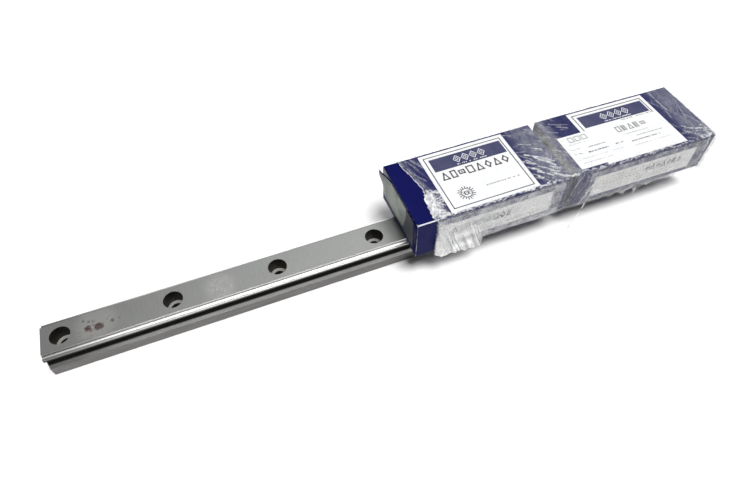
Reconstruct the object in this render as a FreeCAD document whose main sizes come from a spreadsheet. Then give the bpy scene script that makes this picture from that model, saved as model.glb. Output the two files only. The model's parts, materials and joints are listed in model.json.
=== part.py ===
import FreeCAD, Part

import math
import os
import re

import Sketcher

# A linear guide set as it is stored: a ground steel guide rail, and two guide carriages in
# their tuck-end cartons, which lie end to end on the rail in one wrap of stretch film.
# Millimetres. X runs along the rail, Z is up, and the origin is where the axis of the
# first bolt hole meets the rail's seating face.

SIZES = {
    # rail: a 23 x 18 mm section with two raceways on each side
    "rail_length": 390,
    "rail_margin": 10,  # from the cut left end to the first hole
    "rail_width": 23,
    "rail_height": 18,
    "base_chamfer": 0.8,
    "flank_height": 6.8,  # top of the upright sides of the base
    "waist_width": 17.8,
    "waist_height": 10.8,
    "head_width": 22.4,
    "head_chamfer": 0.3,
    "hole_pitch": 60,
    "hole_count": 7,
    "bore_diameter": 7,
    "counterbore_diameter": 11,
    "counterbore_depth": 9,
    # raceways: the balls press on the head from above and on the waist at 30 degrees
    "ball_diameter": 3.969,
    "race_radius": 2.06,
    "upper_race_offset": 10.6,
    "upper_race_height": 18.1,
    "lower_race_offset": 10.9,
    "lower_race_height": 11.6,
    "return_offset": 17.5,
    "return_radius": 2.15,
    "balls_per_circuit": 30,
    # carriage block
    "block_length": 59.8,
    "block_width": 48,
    "block_bottom": 6.8,
    "block_top": 33,
    "block_chamfer": 1.0,
    "ceiling_height": 19.0,
    "channel_width": 23.8,
    "leg_width": 24.4,  # between the feet of the two legs
    "foot_chamfer": 0.4,
    "mount_pitch": 35,
    "mount_diameter": 5.0,  # tapping size of the M6 threads
    "mount_depth": 9,
    # end plates, end seals, side seals and their screws
    "end_plate_length": 9.1,
    "end_plate_inset": 0.6,
    "end_seal_length": 2.5,
    "plate_gap": 0.5,
    "lip_gap": 0.15,
    "side_lip_offset": 11.35,
    "side_lip_height": 1.3,
    "screw_diameter": 2.5,
    "screw_play": 0.1,
    "screw_reach": 8,
    "screw_head_diameter": 4.2,
    "screw_head_height": 1.6,
    "screw_seat_depth": 1.7,
    "upper_screw_offset": 14.5,
    "upper_screw_height": 25,
    "lower_screw_offset": 21.3,
    "lower_screw_height": 14.9,
    "nipple_height": 27,
    "port_diameter": 6,
    "thread_diameter": 5.9,
    "nipple_reach": 12,
    "nipple_hex": 7,
    "nipple_hex_height": 3.2,
    "nipple_shoulder_radius": 2.2,
    "nipple_neck_radius": 1.7,
    "nipple_head_radius": 3.2,
    "nipple_head_start": 8.6,
    "nipple_head_end": 9.6,
    "nipple_tip_radius": 1.2,
    "thread_length": 6.5,
    "slot_width": 0.8,
    # retainers: a flat pair under the block's ceiling and an upright pair on its walls
    "retainer_thickness": 0.5,
    "retainer_width": 1.6,
    "retainer_bottom": 13.9,
    "retainer_top": 16,
    # mounting jig: a plastic stand-in for the rail that keeps the balls in
    "jig_length": 84,
    "jig_gap": 0.5,
    "jig_bottom": 6.65,
    # cartons of 0.45 mm board
    "carton_length": 98.4,
    "carton_width": 50.8,
    "carton_height": 27.6,
    "board": 0.45,
    "board_play": 0.1,
    "shoulder_drop": 1.3,
    "tuck_width": 24,
    "tuck_length": 8,
    "tuck_slope": 12,  # of the end that opens
    "dust_flap_width": 20,
    "dust_flap_top": 25.4,
    "label_thickness": 0.1,
    "carriage_place": 54.7,  # centre of the carriage from the carton's left end
    "carriage_lift": 0.15,
    # where the cartons lie on the rail, and the film round them
    "carton_rest": 18.25,
    "carton_one_place": 196.85,
    "carton_one_side": 1.7,
    "carton_two_place": 300.44,
    "carton_two_side": 1.9,
    "carton_two_yaw": -0.92,
    "film_start": 10,
    "film_thickness": 0.1,
    "film_gap": 0.05,
}

# Printed and stuck-on labels, in the carton's own frame: left, right, front and back or
# bottom and top edges.
TOP_LABEL = {"left": 21.5, "right": 78, "front": -24.0, "back": 23.6}
SIDE_LABEL = {"left": 14, "right": 88, "bottom": 4, "top": 20.5}
OVER_LABEL = {"left": 4, "right": 77.5, "front": -22.3, "back": 6.1}
END_LABEL = {"front": -20, "back": 20, "bottom": 4, "top": 23}

# The wrap holds the other three ends shut.
OPENING_CLOSURE = "carton_1_closure_left"

DOC = FreeCAD.newDocument("guide_set")
SHEET = DOC.addObject("Spreadsheet::Sheet", "Sizes")
for row, (alias, number) in enumerate(SIZES.items(), start=1):
    SHEET.set(f"A{row}", alias)
    SHEET.set(f"B{row}", str(number))
    SHEET.setAlias(f"B{row}", alias)
DOC.recompute()

NODES = {}  # node name: the document object that is the node
VECTOR = FreeCAD.Vector


# ---------------------------------------------------------------- helpers


def bound(text):
    """An expression over the sheet, from text that names its aliases."""

    def in_sheet(word):
        return "Sizes." + word.group() if word.group() in SIZES else word.group()

    return re.sub(r"[a-z][a-z_]*", in_sheet, str(text))


def size(text):
    """The number that an expression over the sheet comes to now."""
    return float(SHEET.evalExpression(bound(text)))


def bind(thing, name, text):
    """Bind a property to the sheet."""
    thing.setExpression(name, bound(text))


def place(thing, x="0", y="0", z="0", rotation=None):
    """Turn an object and bind its position to the sheet."""
    at = VECTOR(size(x), size(y), size(z))
    thing.Placement = FreeCAD.Placement(at, rotation or FreeCAD.Rotation())
    for axis, text in (("x", x), ("y", y), ("z", z)):
        bind(thing, f"Placement.Base.{axis}", text)
    return thing


def box(name, length, width, height, x, y, z):
    """A bound Part::Box with its lowest corner at x, y, z."""
    made = DOC.addObject("Part::Box", name)
    for key, text in (("Length", length), ("Width", width), ("Height", height)):
        bind(made, key, text)
    return place(made, x, y, z)


ALONG_X = FreeCAD.Rotation(VECTOR(0, 1, 0), 90)
AGAINST_X = FreeCAD.Rotation(VECTOR(0, 1, 0), -90)


def cylinder(name, radius, height, x, y, z, rotation=None):
    """A bound Part::Cylinder that starts at x, y, z."""
    made = DOC.addObject("Part::Cylinder", name)
    bind(made, "Radius", radius)
    bind(made, "Height", height)
    return place(made, x, y, z, rotation)


def fuse(name, things):
    """One object from several."""
    made = DOC.addObject("Part::MultiFuse", name)
    made.Shapes = things
    return made


def group(name, things):
    """Separate solids that share one node."""
    made = DOC.addObject("Part::Compound", name)
    made.Links = things
    return made


def cut(name, base, tools):
    """A base with tools cut out of it."""
    made = DOC.addObject("Part::Cut", name)
    made.Base = base
    made.Tool = tools[0] if len(tools) == 1 else fuse(name + "_tools", tools)
    return made


def node(name, thing, placement=None):
    """Name the object as a node and move it to its place in the set."""
    thing.Label = name
    if placement is not None:
        own = FreeCAD.Placement(thing.Placement)
        for axis in "xyz":
            thing.setExpression(f"Placement.Base.{axis}", None)
        thing.Placement = placement.multiply(own)
    NODES[name] = thing
    return thing


def origin_plane(body, role):
    """One of a body's own origin planes."""
    return next(item for item in body.Origin.OriginFeatures if item.Role == role)


def new_sketch(body, name, role, offset="0"):
    """A sketch on one of the body's own planes, moved along the plane's normal."""
    sketch = body.newObject("Sketcher::SketchObject", name)
    sketch.AttachmentSupport = [(origin_plane(body, role), "")]
    sketch.MapMode = "FlatFace"
    bind(sketch, "AttachmentOffset.Base.z", offset)
    return sketch


def pin_point(sketch, edge, end, point):
    """Hold one end of an edge at a bound distance from the sketch's origin."""
    for kind, text in zip(("DistanceX", "DistanceY"), point):
        held = sketch.addConstraint(Sketcher.Constraint(kind, -1, 1, edge, end, size(text)))
        bind(sketch, f"Constraints[{held}]", text)


def outline(sketch, points, arcs=None):
    """A closed outline. points are (x, y) expressions, and arcs gives the centre and radius
    of each edge that is an arc, by the number of the point that the edge starts from."""
    arcs = arcs or {}
    first = sketch.GeometryCount
    where = [VECTOR(size(x), size(y), 0) for x, y in points]
    count = len(points)
    for index, start in enumerate(where):
        end = where[(index + 1) % count]
        if index in arcs:
            centre_x, centre_y, radius = arcs[index]
            centre = VECTOR(size(centre_x), size(centre_y), 0)
            outward = ((start - centre) + (end - centre)).normalize()
            middle = centre + outward * size(radius)
            sketch.addGeometry(Part.Arc(start, middle, end), False)
        else:
            sketch.addGeometry(Part.LineSegment(start, end), False)
    for index in range(count):
        edge = first + index
        # A Part.Arc always runs counter-clockwise, so its ends are told apart by place.
        ends = {True: 1, False: 2}
        starts_here = sketch.getPoint(edge, 1).distanceToPoint(where[index]) < 1e-6
        pin_point(sketch, edge, ends[starts_here], points[index])
        pin_point(sketch, edge, ends[not starts_here], points[(index + 1) % count])
        if index in arcs:
            held = sketch.addConstraint(
                Sketcher.Constraint("Radius", edge, size(arcs[index][2]))
            )
            bind(sketch, f"Constraints[{held}]", arcs[index][2])


def ring(sketch, x, y, radius):
    """A circle with a bound place and radius."""
    centre = VECTOR(size(x), size(y), 0)
    edge = sketch.addGeometry(Part.Circle(centre, VECTOR(0, 0, 1), size(radius)), False)
    pin_point(sketch, edge, 3, (x, y))
    held = sketch.addConstraint(Sketcher.Constraint("Radius", edge, size(radius)))
    bind(sketch, f"Constraints[{held}]", radius)


def pad(body, sketch, length):
    """Pad a sketch by a bound length."""
    made = body.newObject("PartDesign::Pad", sketch.Name + "_pad")
    made.Profile = sketch
    bind(made, "Length", length)
    sketch.Visibility = False
    return made


def pocket(body, sketch, depth):
    """Sink a sketch into the body, against the sketch's normal, and see that it cuts."""
    DOC.recompute()
    before = body.Shape.Volume
    made = body.newObject("PartDesign::Pocket", sketch.Name + "_pocket")
    made.Profile = sketch
    bind(made, "Length", depth)
    DOC.recompute()
    assert body.Shape.Volume < before - 1e-3, f"{made.Name} cuts nothing"
    return made


def prism(name, points, start, length, arcs=None, rings=(), role="YZ_Plane"):
    """A PartDesign body with one padded outline, and round holes through it."""
    body = DOC.addObject("PartDesign::Body", name)
    sketch = new_sketch(body, name + "_outline", role, start)
    outline(sketch, points, arcs)
    for x, y, radius in rings:
        ring(sketch, x, y, radius)
    pad(body, sketch, length)
    return body


def mirrored(half, arcs=None):
    """A whole outline from its right half, which starts and ends on the centre line."""
    arcs = arcs or {}
    count = len(half)
    left = [("-(" + x + ")", y) for x, y in reversed(half[1:-1])]
    whole_arcs = dict(arcs)
    for index, (centre_x, centre_y, radius) in arcs.items():
        whole_arcs[2 * count - 3 - index] = ("-(" + centre_x + ")", centre_y, radius)
    return half + left, whole_arcs


def off_arc(radius, along):
    """Height over an arc's centre at a distance along, as an expression."""
    return f"sqrt(({radius}) * ({radius}) - ({along}) * ({along}))"


# ---------------------------------------------------------------- shared sections


def rail_half(gap, bottom=None):
    """Right half of the rail's section, grown by a gap: from the bottom's centre to the top's.

    The same outline gives the lips of the end seals, the opening in the end plates and,
    with a negative gap, the jig. With bottom set, the flanks run straight down to it."""
    radius = f"(race_radius - ({gap}))"
    race_in = f"(lower_race_offset - waist_width / 2 - ({gap}))"
    lip = f"(head_width / 2 + ({gap}) - upper_race_offset)"
    under = f"lower_race_height + {off_arc(radius, gap)}"
    flank = f"rail_width / 2 + ({gap})"
    waist = f"waist_width / 2 + ({gap})"
    side = f"head_width / 2 + ({gap})"
    top = f"rail_height + ({gap})"
    crest = f"(upper_race_height - rail_height - ({gap}))"
    half = [
        ("0", bottom or "0"),
        (flank, bottom or "0"),
        (flank, "flank_height"),
        (waist, "waist_height"),
        (waist, f"lower_race_height - {off_arc(radius, race_in)}"),
        (f"lower_race_offset + ({gap})", under),
        (side, f"{under} + head_chamfer"),
        (side, f"upper_race_height - {off_arc(radius, lip)}"),
        (f"upper_race_offset - {off_arc(radius, crest)}", top),
        ("0", top),
    ]
    arcs = {
        4: ("lower_race_offset", "lower_race_height", radius),
        7: ("upper_race_offset", "upper_race_height", radius),
    }
    return half, arcs


def plate_around_rail(inset, gap, chamfer):
    """Outline of an end plate or seal: the block's outline, inset, less the rail's section."""
    half, arcs = rail_half(gap)
    wide = f"block_width / 2 - ({inset})"
    low = f"block_bottom + ({inset})"
    high = f"block_top - ({inset})"
    # The opening's flank is cut off where the plate's bottom edge crosses its slope.
    slope = "(rail_width - waist_width) / 2 / (waist_height - flank_height)"
    meet = f"rail_width / 2 + ({gap}) - ({low} - flank_height) * {slope}"
    outer = [
        ("0", high),
        (f"{wide} - ({chamfer})", high),
        (wide, f"{high} - ({chamfer})"),
        (wide, low),
        (meet, low),
    ]
    inner = half[3:]
    whole = outer + inner
    shift = len(outer) - 3
    return mirrored(whole, {index + shift: arc for index, arc in arcs.items()})


# ---------------------------------------------------------------- rail


def make_rail():
    """The rail: its section padded along X, with counterbored bolt holes."""
    half, arcs = rail_half("0")
    chamfered = [
        ("0", "0"),
        ("rail_width / 2 - base_chamfer", "0"),
        ("rail_width / 2", "base_chamfer"),
    ] + half[2:]
    shift = len(chamfered) - len(half)
    points, arcs = mirrored(chamfered, {i + shift: arc for i, arc in arcs.items()})
    body = prism("guide_rail", points, "-rail_margin", "rail_length", arcs)
    for name, diameter, depth in (
        ("counterbores", "counterbore_diameter", "counterbore_depth"),
        ("bores", "bore_diameter", "rail_height"),
    ):
        sketch = new_sketch(body, name, "XY_Plane", "rail_height")
        for index in range(SIZES["hole_count"]):
            ring(sketch, f"{index} * hole_pitch", "0", f"{diameter} / 2")
        pocket(body, sketch, depth)
    node("guide_rail", body)


# ---------------------------------------------------------------- carriage


def block_section():
    """The block's outline: the legs reach down beside the rail, and the inner corners hold
    the outer halves of the four raceways."""
    radius = "race_radius"
    wall = "channel_width / 2"
    foot = "leg_width / 2"
    over = "(ceiling_height - upper_race_height)"
    half = [
        ("0", "block_top"),
        ("block_width / 2 - block_chamfer", "block_top"),
        ("block_width / 2", "block_top - block_chamfer"),
        ("block_width / 2", "block_bottom + base_chamfer"),
        ("block_width / 2 - base_chamfer", "block_bottom"),
        (f"{foot} + foot_chamfer", "block_bottom"),
        (foot, "block_bottom + foot_chamfer"),
        (foot, f"lower_race_height - {off_arc(radius, f'({foot} - lower_race_offset)')}"),
        (wall, f"lower_race_height + {off_arc(radius, f'({wall} - lower_race_offset)')}"),
        (wall, "upper_race_height - race_radius"),
        ("upper_race_offset + race_radius", "upper_race_height - race_radius / 2"),
        ("upper_race_offset + race_radius", "upper_race_height"),
        (f"upper_race_offset - {off_arc(radius, over)}", "ceiling_height"),
        ("0", "ceiling_height"),
    ]
    arcs = {
        7: ("lower_race_offset", "lower_race_height", radius),
        11: ("upper_race_offset", "upper_race_height", radius),
    }
    return mirrored(half, arcs)


CIRCUITS = (("upper", "upper_race"), ("lower", "lower_race"))


def screw_spots():
    """Where the four screws of each end stand, as side offset and height."""
    for row in ("upper", "lower"):
        for side in ("", "-"):
            yield f"{side}{row}_screw_offset", f"{row}_screw_height"


def make_block(name):
    """The hardened steel block with its return channels, screw holes and M6 holes."""
    points, arcs = block_section()
    returns = [
        (f"{side}return_offset", f"{race}_height", "return_radius")
        for _, race in CIRCUITS
        for side in ("", "-")
    ]
    body = prism(name + "_body", points, "-block_length / 2", "block_length", arcs, returns)
    tools = []
    for x in ("", "-"):
        for y in ("", "-"):
            tools.append(
                cylinder(
                    name + "_tap",
                    "mount_diameter / 2",
                    "mount_depth",
                    f"{x}mount_pitch / 2",
                    f"{y}mount_pitch / 2",
                    "block_top - mount_depth",
                )
            )
    for start in ("-block_length / 2", "block_length / 2 - screw_reach"):
        for y, z in screw_spots():
            hole = "(screw_diameter + screw_play) / 2"
            tools.append(cylinder(name + "_hole", hole, "screw_reach", start, y, z, ALONG_X))
    return cut(name, body, tools)


def make_end_plate(name, sign):
    """A moulded end plate. Half-round passages in its inner face turn the balls round."""
    points, arcs = plate_around_rail("end_plate_inset", "plate_gap", "2 * block_chamfer")
    start = "block_length / 2" if sign > 0 else "-block_length / 2 - end_plate_length"
    hole = "(screw_diameter + screw_play) / 2"
    rings = [(y, z, hole) for y, z in screw_spots()]
    rings.append(("0", "nipple_height", "port_diameter / 2"))
    body = prism(name + "_body", points, start, "end_plate_length", arcs, rings)
    turns = []
    for _, race in CIRCUITS:
        for side in ("", "-"):
            turn = DOC.addObject("Part::Torus", name + "_turn")
            bind(turn, "Radius1", f"(return_offset - {race}_offset) / 2")
            bind(turn, "Radius2", "return_radius")
            middle = f"{side}(return_offset + {race}_offset) / 2"
            turns.append(place(turn, f"{sign} * block_length / 2", middle, f"{race}_height"))
    return cut(name, body, turns)


def make_end_seal(name, sign):
    """An end seal: a plate with lips close round the rail, sunk for the screw heads."""
    points, arcs = plate_around_rail("end_plate_inset", "lip_gap", "2 * block_chamfer")
    inner = "block_length / 2 + end_plate_length"
    start = inner if sign > 0 else f"-({inner}) - end_seal_length"
    hole = "(screw_diameter + screw_play) / 2"
    rings = [(y, z, hole) for y, z in screw_spots()]
    rings.append(("0", "nipple_height", "port_diameter / 2"))
    body = prism(name + "_body", points, start, "end_seal_length", arcs, rings)
    seat = "end_seal_length - screw_seat_depth" if sign > 0 else "0"
    radius = "screw_head_diameter / 2 + screw_play"
    tools = [
        cylinder(name + "_seat", radius, "screw_seat_depth", f"{start} + {seat}", y, z, ALONG_X)
        for y, z in screw_spots()
    ]
    return cut(name, body, tools)


def make_end_screws(name):
    """Eight screws that hold the end plates and seals to the block."""
    screws = []
    seat = "block_length / 2 + end_plate_length + end_seal_length - screw_seat_depth"
    for sign, turned in (("", ALONG_X), ("-", AGAINST_X)):
        for y, z in screw_spots():
            shank = cylinder(
                name + "_shank",
                "screw_diameter / 2",
                "screw_reach - screw_play + end_plate_length + end_seal_length - screw_seat_depth",
                f"{sign}(block_length / 2 - screw_reach + screw_play)",
                y,
                z,
                turned,
            )
            head = cylinder(
                name + "_head",
                "screw_head_diameter / 2",
                "screw_head_height",
                f"{sign}({seat})",
                y,
                z,
                turned,
            )
            socket = DOC.addObject("Part::Prism", name + "_socket")
            socket.Polygon = 6
            bind(socket, "Circumradius", "screw_diameter / 4 + screw_play")
            bind(socket, "Height", "screw_head_height")
            place(socket, f"{sign}({seat} + screw_head_height / 2)", y, z, turned)
            screws.append(cut(name + "_screw", fuse(name + "_solid", [shank, head]), [socket]))
    return group(name, screws)


def make_side_seals(name):
    """Two lip strips along the inside of the legs."""
    foot = "leg_width / 2"
    low = "block_bottom + base_chamfer"
    strips = []
    for side in ("", "-"):
        points = [
            (f"{side}{foot}", low),
            (f"{side}{foot}", f"{low} + side_lip_height"),
            (f"{side}(side_lip_offset + lip_gap)", f"{low} + side_lip_height"),
            (f"{side}side_lip_offset", f"{low} + lip_gap"),
            (f"{side}side_lip_offset", low),
        ]
        strips.append(prism(name + "_strip", points, "-block_length / 2", "block_length"))
    return group(name, strips)


def make_retainers(name):
    """Four flat strips that keep the balls in the block when it is off the rail."""
    race_edge = "upper_race_offset - race_radius"
    wall = "channel_width / 2"
    sections = (
        (f"{race_edge} - retainer_width", race_edge, "ceiling_height - retainer_thickness",
         "ceiling_height"),
        (f"{wall} - retainer_thickness", wall, "retainer_bottom", "retainer_top"),
    )
    strips = []
    for side in ("", "-"):
        for inner, outer, low, high in sections:
            near, far = f"{side}({inner})", f"{side}({outer})"
            points = [(near, low), (far, low), (far, high), (near, high)]
            strips.append(prism(name + "_strip", points, "-block_length / 2", "block_length"))
    return group(name, strips)


def circuit_spots(load, back, count):
    """Ball centres round one circuit: along the loaded side, round the turn and back."""
    run = size("block_length")
    radius = (back - load) / 2
    middle = (back + load) / 2
    turn = math.pi * radius
    step = 2 * (run + turn) / count
    for index in range(count):
        along = index * step
        backward = along >= run + turn
        along -= (run + turn) * backward
        flip = -1 if backward else 1
        if along < run:
            yield flip * (along - run / 2), middle - flip * radius
        else:
            angle = (along - run) / radius
            x = run / 2 + radius * math.sin(angle)
            yield flip * x, middle - flip * radius * math.cos(angle)


def make_balls(name, race):
    """The balls of the two circuits of one height, which lie on a closed path."""
    radius = size("ball_diameter / 2")
    height = size(f"{race}_height")
    count = SIZES["balls_per_circuit"]
    spots = list(circuit_spots(size(f"{race}_offset"), size("return_offset"), count))
    balls = [
        Part.makeSphere(radius, VECTOR(x, side * y, height)) for side in (1, -1) for x, y in spots
    ]
    made = DOC.addObject("Part::Feature", name)
    made.Shape = Part.makeCompound(balls)
    return made


def make_nipple(name):
    """A straight grease nipple in the front end plate: thread, hexagon, neck and head."""
    profile = [
        ("0", "-thread_length"),
        ("thread_diameter / 2", "-thread_length"),
        ("thread_diameter / 2", "nipple_hex_height"),
        ("nipple_shoulder_radius", "nipple_hex_height + block_chamfer / 2"),
        ("nipple_neck_radius", "nipple_head_start - block_chamfer"),
        ("nipple_head_radius", "nipple_head_start"),
        ("nipple_head_radius", "nipple_head_end"),
        ("nipple_tip_radius", "nipple_reach"),
        ("0", "nipple_reach"),
    ]
    body = DOC.addObject("PartDesign::Body", name + "_turned")
    sketch = new_sketch(body, name + "_profile", "XZ_Plane")
    outline(sketch, profile)
    turned = body.newObject("PartDesign::Revolution", name + "_revolution")
    turned.Profile = sketch
    turned.ReferenceAxis = (sketch, ["V_Axis"])
    turned.Angle = 360
    hexagon = DOC.addObject("Part::Prism", name + "_hexagon")
    hexagon.Polygon = 6
    bind(hexagon, "Circumradius", "nipple_hex / sqrt(3)")
    bind(hexagon, "Height", "nipple_hex_height")
    made = fuse(name, [body, hexagon])
    face = "-(block_length / 2 + end_plate_length + end_seal_length)"
    return place(made, face, "0", "nipple_height", AGAINST_X)


def make_port_plug(name):
    """A slotted plug, flush in the rear end's grease port."""
    face = "block_length / 2 + end_plate_length + end_seal_length"
    stem = cylinder(
        name + "_stem",
        "thread_diameter / 2",
        "thread_length",
        f"{face} - thread_length",
        "0",
        "nipple_height",
        ALONG_X,
    )
    slot = box(
        name + "_slot",
        "slot_width",
        "port_diameter",
        "slot_width",
        f"{face} - slot_width",
        "-port_diameter / 2",
        "nipple_height - slot_width / 2",
    )
    return cut(name, stem, [slot])


def make_carriage(number, carton):
    """All the pieces of one carriage, at its place in its carton."""
    lift = size("board + carriage_lift - block_bottom")
    inside = FreeCAD.Placement(VECTOR(size("carriage_place"), 0, lift), FreeCAD.Rotation())
    at = carton.multiply(inside)
    name = f"carriage_{number}_"
    node(name + "block", make_block(name + "block"), at)
    for end, sign in (("front", -1), ("rear", 1)):
        plate = f"{name}end_plate_{end}"
        seal = f"{name}end_seal_{end}"
        node(plate, make_end_plate(plate, sign), at)
        node(seal, make_end_seal(seal, sign), at)
    for level, race in CIRCUITS:
        balls = f"{name}{level}_balls"
        node(balls, make_balls(balls, race), at)
    for piece, maker in (
        ("side_seals", make_side_seals),
        ("ball_retainers", make_retainers),
        ("end_plate_screws", make_end_screws),
        ("grease_nipple", make_nipple),
        ("port_plug", make_port_plug),
    ):
        node(name + piece, maker(name + piece), at)
    jig = f"mounting_jig_{number}"
    points, arcs = mirrored(*rail_half("-jig_gap", "jig_bottom"))
    node(jig, prism(jig, points, "-jig_length / 2", "jig_length", arcs), at)


# ---------------------------------------------------------------- cartons and film


def make_sleeve(name):
    """The four panels of a carton, folded into a tube."""
    body = DOC.addObject("PartDesign::Body", name)
    sketch = new_sketch(body, name + "_outline", "YZ_Plane")
    for wall in ("0", "board"):
        side = f"carton_width / 2 - {wall}"
        top = f"carton_height - {wall}"
        outline(sketch, [(f"-({side})", wall), (side, wall), (side, top), (f"-({side})", top)])
    pad(body, sketch, "carton_length")
    return body


def make_closure(name, slope):
    """An end panel with its tuck flap, drawn for the left end and creased to the bottom panel.

    The panel's shoulders stop short of the top panel on both sides of the tuck flap. A tuck
    flap with a slope, in degrees, clears the top panel as it swings out."""
    fall, run = math.sin(math.radians(slope)), math.cos(math.radians(slope))
    top = "carton_height - board - board_play / 2"
    inner = f"tuck_length * {run:.6f}"
    lower = f"{inner} - board * {fall:.6f}"
    lowest = f"{top} - tuck_length * {fall:.6f} - board * {run:.6f}"
    tuck = [
        ("0", "board"),
        ("board", "board"),
        ("board", f"{lowest} + ({lower} - board) * {fall / run:.6f}"),
        (lower, lowest),
        (inner, f"{top} - tuck_length * {fall:.6f}"),
        ("0", top),
    ]
    flap = prism(name + "_tuck", tuck, "-tuck_width / 2", "tuck_width", role="XZ_Plane")
    panel = box(
        name + "_panel",
        "board",
        "carton_width - 2 * board - 2 * board_play",
        "carton_height - 2 * board - shoulder_drop",
        "0",
        "board + board_play - carton_width / 2",
        "board",
    )
    return fuse(name, [panel, flap])


def make_dust_flaps(name):
    """The two small flaps behind an end panel."""
    flaps = []
    for side in (1, -1):
        near = "carton_width / 2 - board"
        start = f"{near} - dust_flap_width" if side > 0 else f"-({near})"
        flaps.append(
            box(
                name + "_flap",
                "board",
                "dust_flap_width",
                "dust_flap_top - board - board_play",
                "board + board_play / 2",
                start,
                "board + board_play",
            )
        )
    return group(name, flaps)


def label_on_top(name, edges, height):
    """A label that lies on the top panel."""
    return box(
        name,
        str(edges["right"] - edges["left"]),
        str(edges["back"] - edges["front"]),
        "label_thickness",
        str(edges["left"]),
        str(edges["front"]),
        height,
    )


def make_carton(number, carton):
    """The pieces of one carton, and the labels printed and stuck on it."""
    name = f"carton_{number}_"
    length = size("carton_length")
    turned = FreeCAD.Rotation(VECTOR(0, 0, 1), 180)
    right_end = carton.multiply(FreeCAD.Placement(VECTOR(length, 0, 0), turned))
    node(name + "sleeve", make_sleeve(name + "sleeve"), carton)
    for end, at in (("left", carton), ("right", right_end)):
        closure = f"{name}closure_{end}"
        flaps = f"{name}dust_flaps_{end}"
        slope = SIZES["tuck_slope"] if closure == OPENING_CLOSURE else 0
        node(closure, make_closure(closure, slope), at)
        node(flaps, make_dust_flaps(flaps), at)
    top = name + "top_label"
    node(top, label_on_top(top, TOP_LABEL, "carton_height"), carton)
    side = box(
        name + "side_label",
        str(SIDE_LABEL["right"] - SIDE_LABEL["left"]),
        "label_thickness",
        str(SIDE_LABEL["top"] - SIDE_LABEL["bottom"]),
        str(SIDE_LABEL["left"]),
        "-carton_width / 2 - label_thickness",
        str(SIDE_LABEL["bottom"]),
    )
    node(name + "side_label", side, carton)


def make_extra_labels(cartons):
    """The label on the open end of carton 1, and the second sticker on top of carton 2."""
    end = box(
        "carton_1_end_label",
        "label_thickness",
        str(END_LABEL["back"] - END_LABEL["front"]),
        str(END_LABEL["top"] - END_LABEL["bottom"]),
        "-label_thickness",
        str(END_LABEL["front"]),
        str(END_LABEL["bottom"]),
    )
    node("carton_1_end_label", end, cartons[1])
    over = label_on_top("carton_2_over_label", OVER_LABEL, "carton_height + label_thickness")
    node("carton_2_over_label", over, cartons[2])


def film_shell(cartons, grow, ends):
    """A solid that holds both cartons and their labels with grow to spare on all sides."""
    half = size("carton_width / 2")
    label = size("label_thickness")
    length = size("carton_length")
    seam = (size("carton_one_place") + length + size("carton_two_place")) / 2
    start = size("carton_one_place + film_start") - ends
    sides = []
    for side, proud in ((-1, label), (1, 0)):
        reach = side * (half + proud + grow)
        first = cartons[1].multVec(VECTOR(0, reach, 0))
        near = cartons[2].multVec(VECTOR(0, reach, 0))
        last = cartons[2].multVec(VECTOR(length + ends, reach, 0))
        widest = side * max(side * first.y, side * near.y + label)
        sides.append([(start, first.y), (seam, widest), (last.x, last.y)])
    corners = sides[0] + sides[1][::-1]
    low = size("carton_rest") - grow
    high = size("carton_rest + carton_height") + 2 * label + grow
    loop = [VECTOR(x, y, low) for x, y in corners + corners[:1]]
    return Part.Face(Part.makePolygon(loop)).extrude(VECTOR(0, 0, high - low))


def make_film(cartons):
    """Stretch film in one loop round both cartons, open at its two ends. It passes between
    the cartons and the rail. Its outline follows from where the cartons lie."""
    gap = size("film_gap")
    made = DOC.addObject("Part::Feature", "film_wrap")
    outer = film_shell(cartons, gap + size("film_thickness"), 0)
    made.Shape = outer.cut(film_shell(cartons, gap, size("film_start") / 2))
    node("film_wrap", made)


# ---------------------------------------------------------------- the set


def carton_places():
    """Where each carton's frame is: its left end, its middle and its bottom."""
    rest = size("carton_rest")
    places = {}
    for number, word, yaw in ((1, "one", 0), (2, "two", SIZES["carton_two_yaw"])):
        at = VECTOR(size(f"carton_{word}_place"), size(f"carton_{word}_side"), rest)
        places[number] = FreeCAD.Placement(at, FreeCAD.Rotation(VECTOR(0, 0, 1), yaw))
    return places


def build():
    """Make every node of the set."""
    make_rail()
    cartons = carton_places()
    for number, carton in cartons.items():
        make_carton(number, carton)
        make_carriage(number, carton)
    make_extra_labels(cartons)
    make_film(cartons)


def check():
    """Stop if any object failed, or any node is empty or not valid."""
    for thing in DOC.Objects:
        bad = {"Invalid", "Error"} & set(thing.State)
        assert not bad, f"{thing.Label}: {thing.State}"
    for name, thing in NODES.items():
        shape = thing.Shape
        assert not shape.isNull() and shape.isValid(), f"{name} has no valid shape"
        assert shape.Solids, f"{name} holds no solid"


def write():
    """Write one STEP file for each node."""
    os.makedirs("parts", exist_ok=True)
    for name, thing in NODES.items():
        thing.Shape.exportStep(f"parts/{name}.step")
        solids = len(thing.Shape.Solids)
        print(f"{name}: {solids} solid(s), {thing.Shape.Volume:.2f} mm3")


build()
DOC.recompute()
check()
write()
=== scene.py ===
"""Looks for a linear guide rail that carries two cartons, each with a carriage inside, held
together by stretch film.

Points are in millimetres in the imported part's frame until make_mesh turns them into metres.
Places on a carton are given in its own frame: x from its left end, y from its middle, away
from the front, and z from its bottom.
"""

import json
import math

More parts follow.
